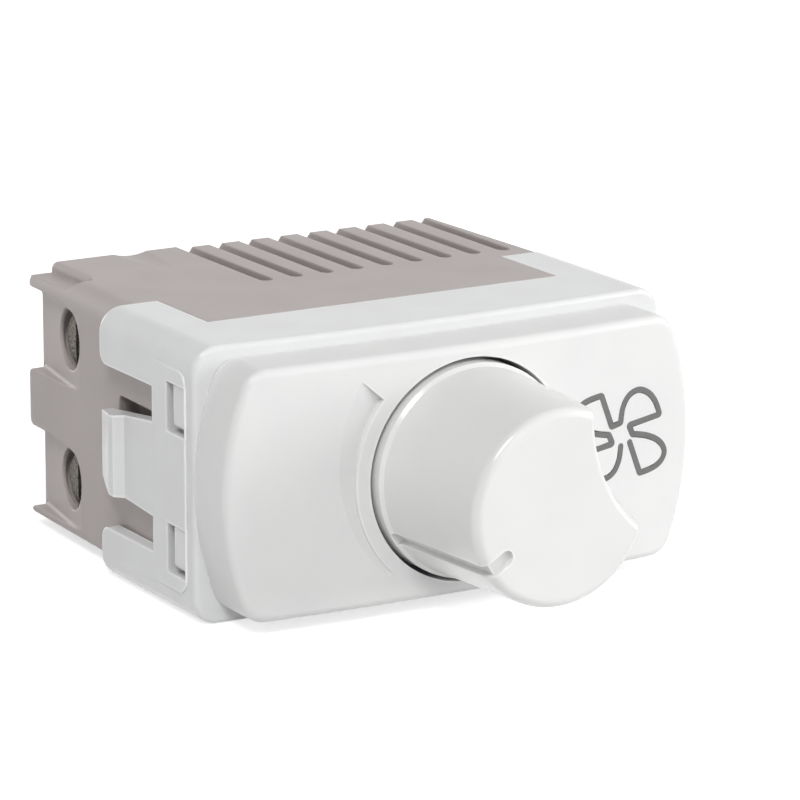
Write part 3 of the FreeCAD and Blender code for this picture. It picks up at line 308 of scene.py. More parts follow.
class Flecks(ShaderGroup):
    """Small flecks in a ground, as in powder cores, laminates and coated bodies."""

    name = "flecks"
    inputs = {"Ground": Socket.COLOUR, "Fleck": Socket.COLOUR, "Scale": Socket.NUMBER, "Share": Socket.NUMBER}
    outputs = {"Colour": Socket.COLOUR, "Height": Socket.NUMBER}

    def wire(self, wiring: Wiring, given: NodeOutputs, put: NodeInputs) -> None:
        """Wire a share of the cells to the fleck colour.

        Args:
            wiring: Wiring of the group's tree.
            given: Sockets of the group's input node.
            put: Sockets of the group's output node.
        """
        cells = wiring.add("ShaderNodeTexVoronoi", {"Vector": wiring.place(), "Scale": given["Scale"]})
        pick = wiring.add("ShaderNodeSeparateColor", {0: cells.outputs["Color"]}).outputs[0]
        mask = wiring.math("LESS_THAN", pick, given["Share"])
        wiring.feed(put["Colour"], wiring.blend(mask, given["Ground"], given["Fleck"]))
        wiring.feed(put["Height"], cells.outputs["Distance"])


@dataclass(frozen=True)
class Finish:
    """Base of the finishes: a named material round one Principled shader."""

    name: str

    BEVEL_SAMPLES: ClassVar[int] = 6

    def material(self) -> Material:
        """Return the finish's material, made on first use.

        Returns:
            The material.
        """
        found = bpy.data.materials.get(self.name)
        if found:
            return found
        made = bpy.data.materials.new(self.name)
        made.use_nodes = True
        wiring = Wiring(made.node_tree)
        self.dress(wiring, made.node_tree.nodes["Principled BSDF"])
        return made

    def dress(self, wiring: Wiring, shader: Node) -> None:
        """Wire the finish into the shader.

        Args:
            wiring: Wiring of the material's tree.
            shader: Its Principled shader.
        """
        raise NotImplementedError

    def relief(self, wiring: Wiring, shader: Node, height: NodeSocket, depth: float,
               edge: float = 0.0) -> None:
        """Feed a height into the shader's normal, over softly broken edges.

        Args:
            wiring: Wiring of the material's tree.
            shader: Its Principled shader.
            height: The height, from 0 to 1.
            depth: Depth of the relief in millimetres.
            edge: Radius of the broken edges in millimetres.
        """
        inputs = {"Height": height, "Distance": depth * MM, "Strength": 1.0}
        if edge:
            soft = wiring.add("ShaderNodeBevel", {"Radius": edge * MM}, samples=self.BEVEL_SAMPLES)
            inputs["Normal"] = soft.outputs[0]
        bump = wiring.add("ShaderNodeBump", inputs)
        wiring.feed(shader.inputs["Normal"], bump.outputs[0])


@dataclass(frozen=True)
class MouldedFinish(Finish):
    """Moulded plastic with a mottled colour, a fine grain and a painted highlight along its outer edges."""

    colour: Colour
    tint: Colour
    roughness: float
    spread: float = 0.12
    patch: float = 6.0
    grain: float = 0.22
    depth: float = 0.004
    edge: float = 0.12
    gloss: float = 0.5
    # lift and the field after it set how much lighter and how wide the painted edge highlight is
    lift: float = 1.16
    highlight_width: float = 0.25

    def dress(self, wiring: Wiring, shader: Node) -> None:
        """Wire the moulded skin and the painted edge highlight into the shader.

        Args:
            wiring: Wiring of the material's tree.
            shader: Its Principled shader.
        """
        skin = wiring.group(MouldedSkin(), {
            "Colour": self.colour, "Tint": self.tint, "Patch Scale": 1 / (self.patch * MM),
            "Grain Scale": 1 / (self.grain * MM), "Roughness": self.roughness, "Spread": self.spread})
        colour = skin["Colour"]
        if self.edge:
            # Painted highlight: the colour is lightened by the lift factor along the outer edges, standing in for
            # the light they catch
            highlight_colour = tuple(min(1.0, part * self.lift) for part in self.colour)
            highlighted = wiring.group(EdgeHighlight(), {"Colour": colour, "Highlight Colour": highlight_colour, "Width": self.highlight_width * MM})
            colour = highlighted["Colour"]
        wiring.feed(shader.inputs["Base Color"], colour)
        wiring.feed(shader.inputs["Roughness"], skin["Roughness"])
        shader.inputs["Specular IOR Level"].default_value = self.gloss
        self.relief(wiring, shader, skin["Height"], self.depth, self.edge)


@dataclass(frozen=True)
class MetalFinish(Finish):
    """Worked metal with lines along one direction and dull patches."""

    colour: Colour
    dull: Colour
    roughness: float
    spread: float = 0.25
    stretch: Point = (1.0, 1.0, 1.0)
    line: float = 0.12
    patch: float = 1.5
    depth: float = 0.006
    edge: float = 0.08

    def dress(self, wiring: Wiring, shader: Node) -> None:
        """Wire the worked metal into the shader.

        Args:
            wiring: Wiring of the material's tree.
            shader: Its Principled shader.
        """
        metal = wiring.group(WorkedMetal(), {
            "Colour": self.colour, "Dull": self.dull, "Stretch": self.stretch,
            "Line Scale": 1 / (self.line * MM), "Patch Scale": 1 / (self.patch * MM),
            "Roughness": self.roughness, "Spread": self.spread})
        wiring.feed(shader.inputs["Base Color"], metal["Colour"])
        wiring.feed(shader.inputs["Roughness"], metal["Roughness"])
        shader.inputs["Metallic"].default_value = 1.0
        self.relief(wiring, shader, metal["Height"], self.depth, self.edge)


@dataclass(frozen=True)
class StripedFinish(Finish):
    """Body of a leaded part: colours in stripes along one axis, tinned leads past its end."""

    axis: Axis
    stripes: tuple[tuple[float, Colour], ...]
    lead_from: float
    folded: bool
    roughness: float
    fleck: float = 0.25
    leads: Leads = Leads.BEYOND

    LEAD: ClassVar[Colour] = srgb(196, 194, 188)
    SHADE: ClassVar[Colour] = (0.88, 0.88, 0.88, 1.0)
    FLECK_SHARE: ClassVar[float] = 0.3
    RELIEF: ClassVar[float] = 0.01

    def dress(self, wiring: Wiring, shader: Node) -> None:
        """Wire the stripes, the flecks and the leads into the shader.

        Args:
            wiring: Wiring of the material's tree.
            shader: Its Principled shader.
        """
        along = wiring.along(wiring.place(), self.axis)
        along = wiring.math("ABSOLUTE", along) if self.folded else along
        colour: object = self.stripes[0][1]
        for start, shade in self.stripes[1:]:
            colour = wiring.blend(wiring.math("GREATER_THAN", along, start * MM), colour, shade)
        flecks = wiring.group(Flecks(), {
            "Ground": colour, "Fleck": wiring.blend(1.0, colour, self.SHADE, "MULTIPLY"),
            "Scale": 1 / (self.fleck * MM), "Share": self.FLECK_SHARE})
        lead = wiring.math(self.leads.value, along, self.lead_from * MM)
        wiring.feed(shader.inputs["Base Color"], wiring.blend(lead, flecks["Colour"], self.LEAD))
        wiring.feed(shader.inputs["Metallic"], lead)
        shader.inputs["Roughness"].default_value = self.roughness
        self.relief(wiring, shader, flecks["Height"], self.RELIEF)


@dataclass(frozen=True)
class BoardFinish(Finish):
    """Laminate with a woven ground, a solder mask and copper tracks that show through it."""

    ground: Colour = srgb(46, 96, 62)
    track: Colour = srgb(70, 128, 84)
    edge: Colour = srgb(172, 160, 116)
    pitch: float = 3.4
    front: float = 10.62
    rear: float = 12.18
    randomness: float = 0.6
    weave: float = 0.4
    weave_share: float = 0.15
    roughness: float = 0.35
    relief_depth: float = 0.03

    TRACK_RANGE: ClassVar[tuple[float, float]] = (0.06, 0.1)

    def dress(self, wiring: Wiring, shader: Node) -> None:
        """Wire the tracks to the colour and to a slight relief.

        Args:
            wiring: Wiring of the material's tree.
            shader: Its Principled shader.
        """
        place = wiring.place()
        cells = wiring.add("ShaderNodeTexVoronoi", {"Vector": place, "Scale": 1 / (self.pitch * MM),
                                                    "Randomness": self.randomness},
                           distance="MANHATTAN", feature="DISTANCE_TO_EDGE")
        track = wiring.ramp(cells.outputs[0], *self.TRACK_RANGE)
        weave = wiring.add("ShaderNodeTexChecker", {"Vector": place, "Scale": 1 / (self.weave * MM)})
        thread = wiring.math("MULTIPLY", weave.outputs[1], self.weave_share)
        colour = wiring.blend(track, wiring.blend(thread, self.ground, self.edge), self.track)
        depth = wiring.along(place, Axis.Y)
        inside = wiring.math("MULTIPLY", wiring.math("GREATER_THAN", depth, self.front * MM),
                             wiring.math("LESS_THAN", depth, self.rear * MM))
        wiring.feed(shader.inputs["Base Color"], wiring.blend(inside, colour, self.edge))
        shader.inputs["Roughness"].default_value = self.roughness
        self.relief(wiring, shader, track, self.relief_depth)


class Paint(Enum):
    """Finishes of the control, by the piece they belong to."""

    COVER = MouldedFinish("cover_white", srgb(233, 233, 232), srgb(230, 230, 230), 0.34, gloss=0.45)
    KNOB = MouldedFinish("knob_white", srgb(233, 233, 232), srgb(231, 231, 230), 0.22, gloss=0.75)
    # The frame gets the strongest painted edge highlight, with lift 1.25
    FRAME = MouldedFinish("frame_white", srgb(231, 232, 232), srgb(228, 228, 229), 0.23, spread=0.06,
                          gloss=0.45, lift=1.25)
    HOUSING = MouldedFinish("housing_grey", srgb(187, 179, 177), srgb(183, 175, 173), 0.5, grain=0.16,
                            depth=0.006, edge=0.3, gloss=0.3)
    PRINT = MouldedFinish("print_grey", srgb(116, 116, 115), srgb(111, 111, 110), 0.6, patch=0.8, grain=0.1,
                          depth=0.002, edge=0.0, gloss=0.3)
    CASE = MouldedFinish("case_black", srgb(46, 46, 48), srgb(40, 40, 42), 0.5)
    WIPER = MouldedFinish("wiper_black", srgb(58, 56, 54), srgb(48, 46, 45), 0.55)
    DEVICE = StripedFinish("device_black", Axis.Y, ((0.0, srgb(38, 38, 40)),), 17.15, False, 0.5, 0.12,
                           Leads.BEFORE)
    SHAFT = MetalFinish("shaft_turned", srgb(206, 204, 198), srgb(186, 182, 174), 0.3, stretch=(1.0, 14.0, 1.0))
    SPRING = MetalFinish("spring_steel", srgb(176, 178, 182), srgb(150, 150, 152), 0.32, stretch=(1.0, 0.1, 1.0))
    BUSH = MetalFinish("bush_brass", srgb(208, 176, 104), srgb(178, 146, 84), 0.3, stretch=(0.2, 14.0, 0.2))
    PLATED = MetalFinish("plated_steel", srgb(190, 190, 190), srgb(150, 148, 142), 0.34)
    SCREW = MetalFinish("screw_plated", srgb(127, 123, 116), srgb(66, 62, 58), 0.5, line=0.2, patch=0.22,
                        depth=0.05)
    CONTACT = MetalFinish("contact_brass", srgb(214, 182, 108), srgb(184, 150, 86), 0.3, stretch=(1.0, 0.1, 1.0))
    SINK = MetalFinish("sink_rolled", srgb(206, 208, 210), srgb(184, 186, 188), 0.38, stretch=(1.0, 0.06, 1.0))
    WIRE = MetalFinish("enamelled_wire", srgb(186, 96, 48), srgb(160, 76, 36), 0.28, spread=0.15, patch=0.8)
    SOLDER = MetalFinish("solder", srgb(204, 204, 206), srgb(176, 176, 178), 0.26, patch=0.4)
    BOARD = BoardFinish("board_laminate")
    TRACK = StripedFinish("track_phenolic", Axis.Y, ((0.0, srgb(150, 104, 58)),), 9.6, False, 0.5)
    RESISTOR = StripedFinish("resistor_body", Axis.Z, (
        (0.0, srgb(206, 178, 128)), (0.3, srgb(120, 66, 40)), (0.75, srgb(206, 178, 128)),
        (1.15, srgb(196, 52, 44)), (1.6, srgb(206, 178, 128)), (2.1, srgb(196, 156, 60)),
        (2.5, srgb(206, 178, 128))), 3.0, True, 0.35)
    DIAC = StripedFinish("diac_glass", Axis.Z, ((0.0, srgb(52, 96, 152)), (1.3, srgb(36, 40, 60))), 2.0, True, 0.15)
    FUSE = StripedFinish("fuse_body", Axis.Z, ((0.0, srgb(226, 222, 208)),), 3.2, True, 0.3)
    TIMING = StripedFinish("film_red", Axis.Y, ((0.0, srgb(152, 42, 34)),), 10.6, False, 0.35)
    FILM = StripedFinish("film_yellow", Axis.Y, ((0.0, srgb(222, 186, 62)),), 12.15, False, 0.4,
                         leads=Leads.BEFORE)
    CORE = StripedFinish("core_powder", Axis.Y, ((0.0, srgb(92, 94, 98)),), 50.0, False, 0.6, 0.15)

    def put_on(self, obj: Object) -> None:
        """Give an object this finish as its only material.

        Args:
            obj: The object to dress.
        """
        obj.data.materials.clear()
        obj.data.materials.append(self.value.material())


def linked(obj: Object) -> Object:
    """Link a new object into the scene and return it."""
    bpy.context.scene.collection.objects.link(obj)
    return obj


def path_object(name: str, points: list[Point]) -> Object:
    """Make a curve object through straight-joined points.

    Args:
        name: Name of the object.
        points: Points in metres.

    Returns:
        The curve object, linked to the scene.
    """
    curve = bpy.data.curves.new(name, "CURVE")
    curve.dimensions = "3D"
    spline = curve.splines.new("POLY")
    spline.points.add(len(points) - 1)
    for knot, point in zip(spline.points, points):
        knot.co = (*point, 1.0)
    return linked(bpy.data.objects.new(name, curve))


def mesh_object(name: str, points: list[Point], faces: list[tuple[int, ...]]) -> Object:
    """Make a mesh object from points and faces.

    Args:
        name: Name of the object.
        points: Points in metres.
        faces: Faces as tuples of point numbers.

    Returns:
        The mesh object, linked to the scene.
    """
    mesh = bpy.data.meshes.new(name)
    mesh.from_pydata(points, [], faces)
    mesh.update()
    return linked(bpy.data.objects.new(name, mesh))


def plain_object(source: Object, name: str) -> Object:
    """Turn an object with its modifiers into a plain mesh object at the origin.

    Args:
        source: Object with its modifiers set; it is removed.
        name: Name of the finished piece.

    Returns:
        The finished piece, linked to the scene.
    """
    bpy.context.view_layer.update()
    graph = bpy.context.evaluated_depsgraph_get()
    mesh = bpy.data.meshes.new_from_object(source.evaluated_get(graph))
    bpy.data.objects.remove(source)
    mesh.name = name
    return linked(bpy.data.objects.new(name, mesh))


class NodeTool:
    """A Geometry Nodes tree with named inputs, applied to one object and turned into a plain mesh."""

    name: str = ""
    inputs: dict[str, Socket] = {}

    def tree(self) -> NodeTree:
        """Return the tool's tree, made on first use."""
        return bpy.data.node_groups.get(self.name) or self.build()

    def build(self) -> NodeTree:
        """Make the tree's sockets and wire it up to its realized and painted end.

        Returns:
            The new node tree.
        """
        tree = bpy.data.node_groups.new(self.name, "GeometryNodeTree")
        shape = {"Geometry": Socket.SHAPE}
        add_sockets(tree, "INPUT", shape | self.inputs)
        add_sockets(tree, "OUTPUT", shape)
        wiring = Wiring(tree)
        entry = wiring.add("NodeGroupInput").outputs
        real = wiring.add("GeometryNodeRealizeInstances", {"Geometry": self.shape(wiring, entry)})
        painted = wiring.add("GeometryNodeSetMaterial", {"Geometry": real.outputs[0], "Material": entry["Material"]})
        wiring.add("NodeGroupOutput", {"Geometry": painted.outputs[0]})
        return tree

    def shape(self, wiring: Wiring, given: NodeOutputs) -> NodeSocket:
        """Wire the tool's own geometry.

        Args:
            wiring: Wiring of the tool's tree.
            given: Sockets of the tree's input node.

        Returns:
            The geometry before it is realized and painted.
        """
        raise NotImplementedError

    def apply(self, source: Object, name: str, values: dict[str, object]) -> Object:
        """Run the tool on an object and keep the result as a plain mesh object.

        Args:
            source: Object that carries the path or the points; it is removed.
            name: Name of the finished piece.
            values: Values of the tool's inputs by name.

        Returns:
            The finished piece, at the origin.
        """
        modifier = source.modifiers.new(self.name, "NODES")
        modifier.node_group = self.tree()
        for item in modifier.node_group.interface.items_tree:
            if item.in_out == "INPUT" and item.name in values:
                modifier[item.identifier] = values[item.name]
        return plain_object(source, name)


class SweptWire(NodeTool):
    """Sweeps a flattened round section along a path and closes its ends."""

    name = "swept_wire"
    inputs = {"Width": Socket.NUMBER, "Flatness": Socket.NUMBER, "Corner": Socket.NUMBER, "Sides": Socket.COUNT,
              "Material": Socket.FINISH}

    CORNER_POINTS = 5
    TIP_RINGS = 6

    def shape(self, wiring: Wiring, given: NodeOutputs) -> NodeSocket:
        """Wire the rounded path, its section and the sweep.

        Args:
            wiring: Wiring of the tool's tree.
            given: Sockets of the tree's input node.

        Returns:
            The geometry before it is realized and painted.
        """
        path = wiring.add("GeometryNodeFilletCurve", {"Curve": given["Geometry"], "Count": self.CORNER_POINTS,
                                                      "Radius": given["Corner"], "Limit Radius": True}, mode="POLY")
        level = wiring.add("GeometryNodeSetCurveNormal", {"Curve": path.outputs[0]}, mode="Z_UP")
        radius = wiring.math("MULTIPLY", given["Width"], 0.5)
        ring = wiring.add("GeometryNodeCurvePrimitiveCircle", {"Resolution": given["Sides"], "Radius": radius},
                          mode="RADIUS")
        squash = wiring.add("ShaderNodeCombineXYZ", {0: 1.0, 1: given["Flatness"], 2: 1.0})
        section = wiring.add("GeometryNodeTransform", {"Geometry": ring.outputs[0], "Scale": squash.outputs[0]})
        swept = wiring.add("GeometryNodeCurveToMesh", {"Curve": level.outputs[0],
                                                       "Profile Curve": section.outputs[0], "Fill Caps": True})
        ball = wiring.add("GeometryNodeMeshUVSphere", {"Segments": given["Sides"], "Rings": self.TIP_RINGS,
                                                       "Radius": radius})
        level_squash = wiring.add("ShaderNodeCombineXYZ", {0: 1.0, 1: 1.0, 2: given["Flatness"]})
        tip = wiring.add("GeometryNodeTransform", {"Geometry": ball.outputs[0], "Scale": level_squash.outputs[0]})
        ends = wiring.add("GeometryNodeCurveEndpointSelection")
        tips = wiring.add("GeometryNodeInstanceOnPoints", {"Points": level.outputs[0], "Selection": ends.outputs[0],
                                                           "Instance": tip.outputs[0]})
        whole = wiring.add("GeometryNodeJoinGeometry")
        for part in (tips, swept):
            wiring.tree.links.new(part.outputs[0], whole.inputs[0])
        real = wiring.add("GeometryNodeRealizeInstances", {"Geometry": whole.outputs[0]})
        smooth = wiring.add("GeometryNodeSetShadeSmooth", {"Geometry": real.outputs[0]})
        return smooth.outputs[0]


class PrintedLine(SweptWire):
    """A flat swept line laid on the cover's bowed face."""

    name = "printed_line"
    inputs = SweptWire.inputs | {"Centre": Socket.VECTOR, "Bow Radius": Socket.NUMBER}

    UPRIGHT = (math.pi / 2, 0.0, 0.0)

    def shape(self, wiring: Wiring, given: NodeOutputs) -> NodeSocket:
        """Wire the swept line, stood upright, moved to its centre and bent to the face.

        Args:
            wiring: Wiring of the tool's tree.
            given: Sockets of the tree's input node.

        Returns:
            The geometry before it is realized and painted.
        """
        flat = super().shape(wiring, given)
        stood = wiring.add("GeometryNodeTransform", {"Geometry": flat, "Translation": given["Centre"],
                                                     "Rotation": self.UPRIGHT})
        side = wiring.along(wiring.add("GeometryNodeInputPosition").outputs[0], Axis.X)
        square = wiring.math("MULTIPLY", given["Bow Radius"], given["Bow Radius"])
        inner = wiring.math("SUBTRACT", square, wiring.math("MULTIPLY", side, side))
        sag = wiring.math("SUBTRACT", given["Bow Radius"], wiring.math("SQRT", inner))
        shift = wiring.add("ShaderNodeCombineXYZ", {1: sag})
        bent = wiring.add("GeometryNodeSetPosition", {"Geometry": stood.outputs[0], "Offset": shift.outputs[0]})
        return bent.outputs[0]


class SolderJoints(NodeTool):
    """Sets one small cone of solder on every point."""

    name = "solder_joints"
    inputs = {"Foot": Socket.NUMBER, "Neck": Socket.NUMBER, "Height": Socket.NUMBER, "Turn": Socket.VECTOR,
              "Material": Socket.FINISH}

    SIDES = 16
    STEPS = 3

    def shape(self, wiring: Wiring, given: NodeOutputs) -> NodeSocket:
        """Wire one cone and its copies on the points.

        Args:
            wiring: Wiring of the tool's tree.
            given: Sockets of the tree's input node.

        Returns:
            The geometry before it is realized and painted.
        """
        cone = wiring.add("GeometryNodeMeshCone", {"Vertices": self.SIDES, "Side Segments": self.STEPS,
                                                   "Radius Top": given["Neck"], "Radius Bottom": given["Foot"],
                                                   "Depth": given["Height"]})
        smooth = wiring.add("GeometryNodeSetShadeSmooth", {"Geometry": cone.outputs[0]})
        points = wiring.add("GeometryNodeMeshToPoints", {"Mesh": given["Geometry"]})
        turned = wiring.add("FunctionNodeEulerToRotation", {0: given["Turn"]})
        copies = wiring.add("GeometryNodeInstanceOnPoints", {"Points": points.outputs[0],
                                                             "Instance": smooth.outputs[0],
                                                             "Rotation": turned.outputs[0]})
        return copies.outputs[0]


class Assembly:
    """Base of the sub-assemblies: CAD nodes with their finishes, and the pieces made for them."""

    def finishes(self) -> dict[str, Paint]:
        """Return the finish of each CAD node by the node's name."""
        raise NotImplementedError

    def dress(self) -> list[str]:
        """Give the CAD nodes their finishes.

        Returns:
            The names of the dressed pieces.
        """
        for node, paint in self.finishes().items():
            paint.put_on(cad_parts[node])
        return list(self.finishes())


@dataclass
class CoverAssembly(Assembly):
    """Front cover with its printed fan symbol. Sizes in millimetres."""

    crown: float = -5.16
    bow: float = 228.0
    centre_x: float = 15.08
    centre_z: float = 0.82
    stretch_x: float = 1.174
    stretch_z: float = 0.96
    lean: float = -0.13
    line: float = 0.56
    corner: float = 0.12
    proud: float = 0.02
    blades: int = 4
    first_turn: float = -180.0
    steps: int = 4
    sides: int = 12

    ARC: ClassVar[tuple[tuple[float, float], ...]] = (
        (-0.02, 1.06), (0.03, 1.67), (0.16, 2.42), (0.49, 3.23), (0.99, 3.77), (1.63, 4.01), (2.32, 3.8),
        (2.86, 3.3), (3.25, 2.56), (3.51, 1.76))
    ROOT: ClassVar[tuple[float, float]] = (0.72, 0.82)

    def blade(self) -> list[tuple[float, float]]:
        """Round the tip of one blade and end at its root.

        Returns:
            Points of the blade's outline from hub to hub.
        """
        # A smooth curve through the knots, whose slope at each comes from its two neighbours
        knots = (self.ARC[0], *self.ARC, self.ARC[-1])
        outline = []
        for before, start, end, after in zip(knots, knots[1:], knots[2:], knots[3:]):
            for step in range(self.steps):
                share = step / self.steps
                outline.append(tuple(
                    b + 0.5 * share * (c - a + share * (2 * a - 5 * b + 4 * c - d + share * (3 * b - 3 * c + d - a)))
                    for a, b, c, d in zip(before, start, end, after)))
        return outline + [self.ARC[-1], self.ROOT]

    def build(self) -> Object:
        """Lay one printed line with four blades on the cover's face.

        Returns:
            The printed symbol.
        """
        points: list[Point] = []
        for number in range(self.blades):
            turn = math.radians(self.first_turn - 360 / self.blades * number)
            for x, z in self.blade():
                side = (x * math.cos(turn) - z * math.sin(turn)) * self.stretch_x
                lift = (x * math.sin(turn) + z * math.cos(turn)) * self.stretch_z + self.lean * side
                points.append((side * MM, lift * MM, 0.0))
        values = {"Width": self.line * MM, "Flatness": 2 * self.proud / self.line, "Corner": self.corner * MM,
                  "Sides": self.sides, "Material": Paint.PRINT.value.material(),
                  "Centre": (self.centre_x * MM, self.crown * MM, self.centre_z * MM),
                  "Bow Radius": self.bow * MM}
        return PrintedLine().apply(path_object("print_path", points), "fan_symbol", values)

    def finishes(self) -> dict[str, Paint]:
        """Return the finish of the cover."""
        return {"front_cover": Paint.COVER}

    def dress(self) -> list[str]:
        """Dress the cover and set the print on it.

        Returns:
            The names of the dressed pieces.
        """
        names = super().dress()
        symbol = self.build()
        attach(symbol, "base")
        return names + [symbol.name]


@dataclass
class CaseAssembly(Assembly):
    """Mounting frame and rear housing."""

    frame_paint: Paint = Paint.FRAME
    housing_paint: Paint = Paint.HOUSING

    def finishes(self) -> dict[str, Paint]:
        """Return the finishes of the two mouldings."""
        return {"mounting_frame": self.frame_paint, "rear_housing": self.housing_paint}


@dataclass
class ControlAssembly(Assembly):
    """Knob, shaft and the rotary control behind them."""

    knob_paint: Paint = Paint.KNOB

    def finishes(self) -> dict[str, Paint]:
        """Return the finishes of the turning pieces and the fixed ones round them."""
        return {"knob": self.knob_paint, "knob_clip": Paint.SPRING, "control_shaft": Paint.SHAFT,
                "wiper": Paint.WIPER, "pot_bush": Paint.BUSH, "pot_case": Paint.CASE, "pot_track": Paint.TRACK,
                "bush_washer": Paint.PLATED, "bush_nut": Paint.PLATED}


@dataclass
class ChokeAssembly(Assembly):
    """Ring choke with its separate turns of wire. Sizes in millimetres."""

    centre_x: float = 3.6
    centre_y: float = 14.8
    centre_z: float = 0.75
    mean_radius: float = 3.1
    half_radial: float = 1.3
    half_axial: float = 2.2
    wire: float = 0.8
    turns: int = 11
    lead_angle: float = 30.0
    lead_end: float = 9.8
    steps: int = 32
    squareness: float = 0.55
    sides: int = 10

    def place(self, around: float, radius: float, y: float) -> Point:
        """Return a point in metres from the angle round the ring, its radius and its depth."""
        x = self.centre_x + radius * math.sin(around)
        return (x * MM, y * MM, (self.centre_z - radius * math.cos(around)) * MM)

    def build(self) -> Object:
        """Wind the wire round the core and bring both ends to the board.

        Returns:
            The winding.
        """
        start = math.radians(self.lead_angle)
        span = math.radians(360 - 2 * self.lead_angle)
        outer = self.mean_radius + self.half_radial
        points = [self.place(start, outer, self.lead_end), self.place(start, outer, self.centre_y)]
        # The last turn stops a quarter early, on the side of the board
        count = self.turns * self.steps - self.steps // 4
        for step in range(1, count + 1):
            wind = 2 * math.pi * step / self.steps
            out = math.copysign(abs(math.cos(wind)) ** self.squareness, math.cos(wind))
            rise = math.copysign(abs(math.sin(wind)) ** self.squareness, math.sin(wind))
            points.append(self.place(start + span * step / count, self.mean_radius + self.half_radial * out,
                                     self.centre_y + self.half_axial * rise))
        points.append(self.place(start + span, outer, self.centre_y - self.half_axial))
        points.append(self.place(start + span, outer, self.lead_end))
        values = {"Width": self.wire * MM, "Flatness": 1.0, "Corner": 0.0, "Sides": self.sides,
                  "Material": Paint.WIRE.value.material()}
        return SweptWire().apply(path_object("wire_path", points), "wound_wire", values)

    def finishes(self) -> dict[str, Paint]:
        """Return the finish of the core."""
        return {"choke_core": Paint.CORE}

    def dress(self) -> list[str]:
        """Dress the core and put the wound wire in place of its plain sleeve.

        Returns:
            The names of the dressed pieces.
        """
        names = super().dress()
        winding = self.build()
        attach(winding, "base")
        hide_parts("choke_winding")
        return names + [winding.name]


@dataclass
class CircuitAssembly(Assembly):
    """Circuit board, the parts on it and their soldered joints. Sizes in millimetres."""

    front: float = 10.6
    rear: float = 12.2
    foot: float = 0.85
    neck: float = 0.42
    height: float = 0.5

    REAR_JOINTS: ClassVar[tuple[tuple[float, float], ...]] = (
        (-3.8, -4.0), (0.0, -4.0), (3.8, -4.0), (-15.65, -1.8), (-15.65, 1.8), (7.9, -4.0), (7.9, 4.0),
        (10.5, -4.0), (10.5, 4.0), (12.6, -3.0), (12.6, 3.0), (-8.4, -5.25), (-8.4, 5.25))
    FRONT_JOINTS: ClassVar[tuple[tuple[float, float], ...]] = (
        (-1.4, -6.9), (8.6, -6.9), (1.4, -3.06), (5.8, -3.06), (15.7, -2.29), (15.7, 0.0), (15.7, 2.29),
        (-12.3, 6.65), (-12.3, -5.75))

    def build(self, face: Board) -> Object:
        """Solder the leads on one face of the board.

        Args:
            face: The face of the board.

        Returns:
            The joints of that face.
        """
        places = self.FRONT_JOINTS if face is Board.FRONT else self.REAR_JOINTS
        plane = self.front if face is Board.FRONT else self.rear
        points = [(x * MM, plane * MM, z * MM) for x, z in places]
        values = {"Foot": self.foot * MM, "Neck": self.neck * MM, "Height": self.height * MM,
                  "Turn": (face.value * math.pi / 2, 0.0, 0.0), "Material": Paint.SOLDER.value.material()}
        name = "solder_" + face.name.lower()
        return SolderJoints().apply(mesh_object("joint_points", points, []), name, values)

    def finishes(self) -> dict[str, Paint]:
        """Return the finishes of the board and its parts."""
        return {"circuit_board": Paint.BOARD, "resistors": Paint.RESISTOR, "timing_capacitor": Paint.TIMING,
                "diac": Paint.DIAC, "fuse": Paint.FUSE, "suppression_capacitor": Paint.FILM,
                "triac": Paint.DEVICE, "heat_sink": Paint.SINK, "heat_sink_screw": Paint.PLATED}

    def dress(self) -> list[str]:
        """Dress the board and its parts, and solder both faces.

        Returns:
            The names of the dressed pieces.
        """
        names = super().dress()
        for face in Board:
            joints = self.build(face)
            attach(joints, "base")
            names.append(joints.name)
        return names


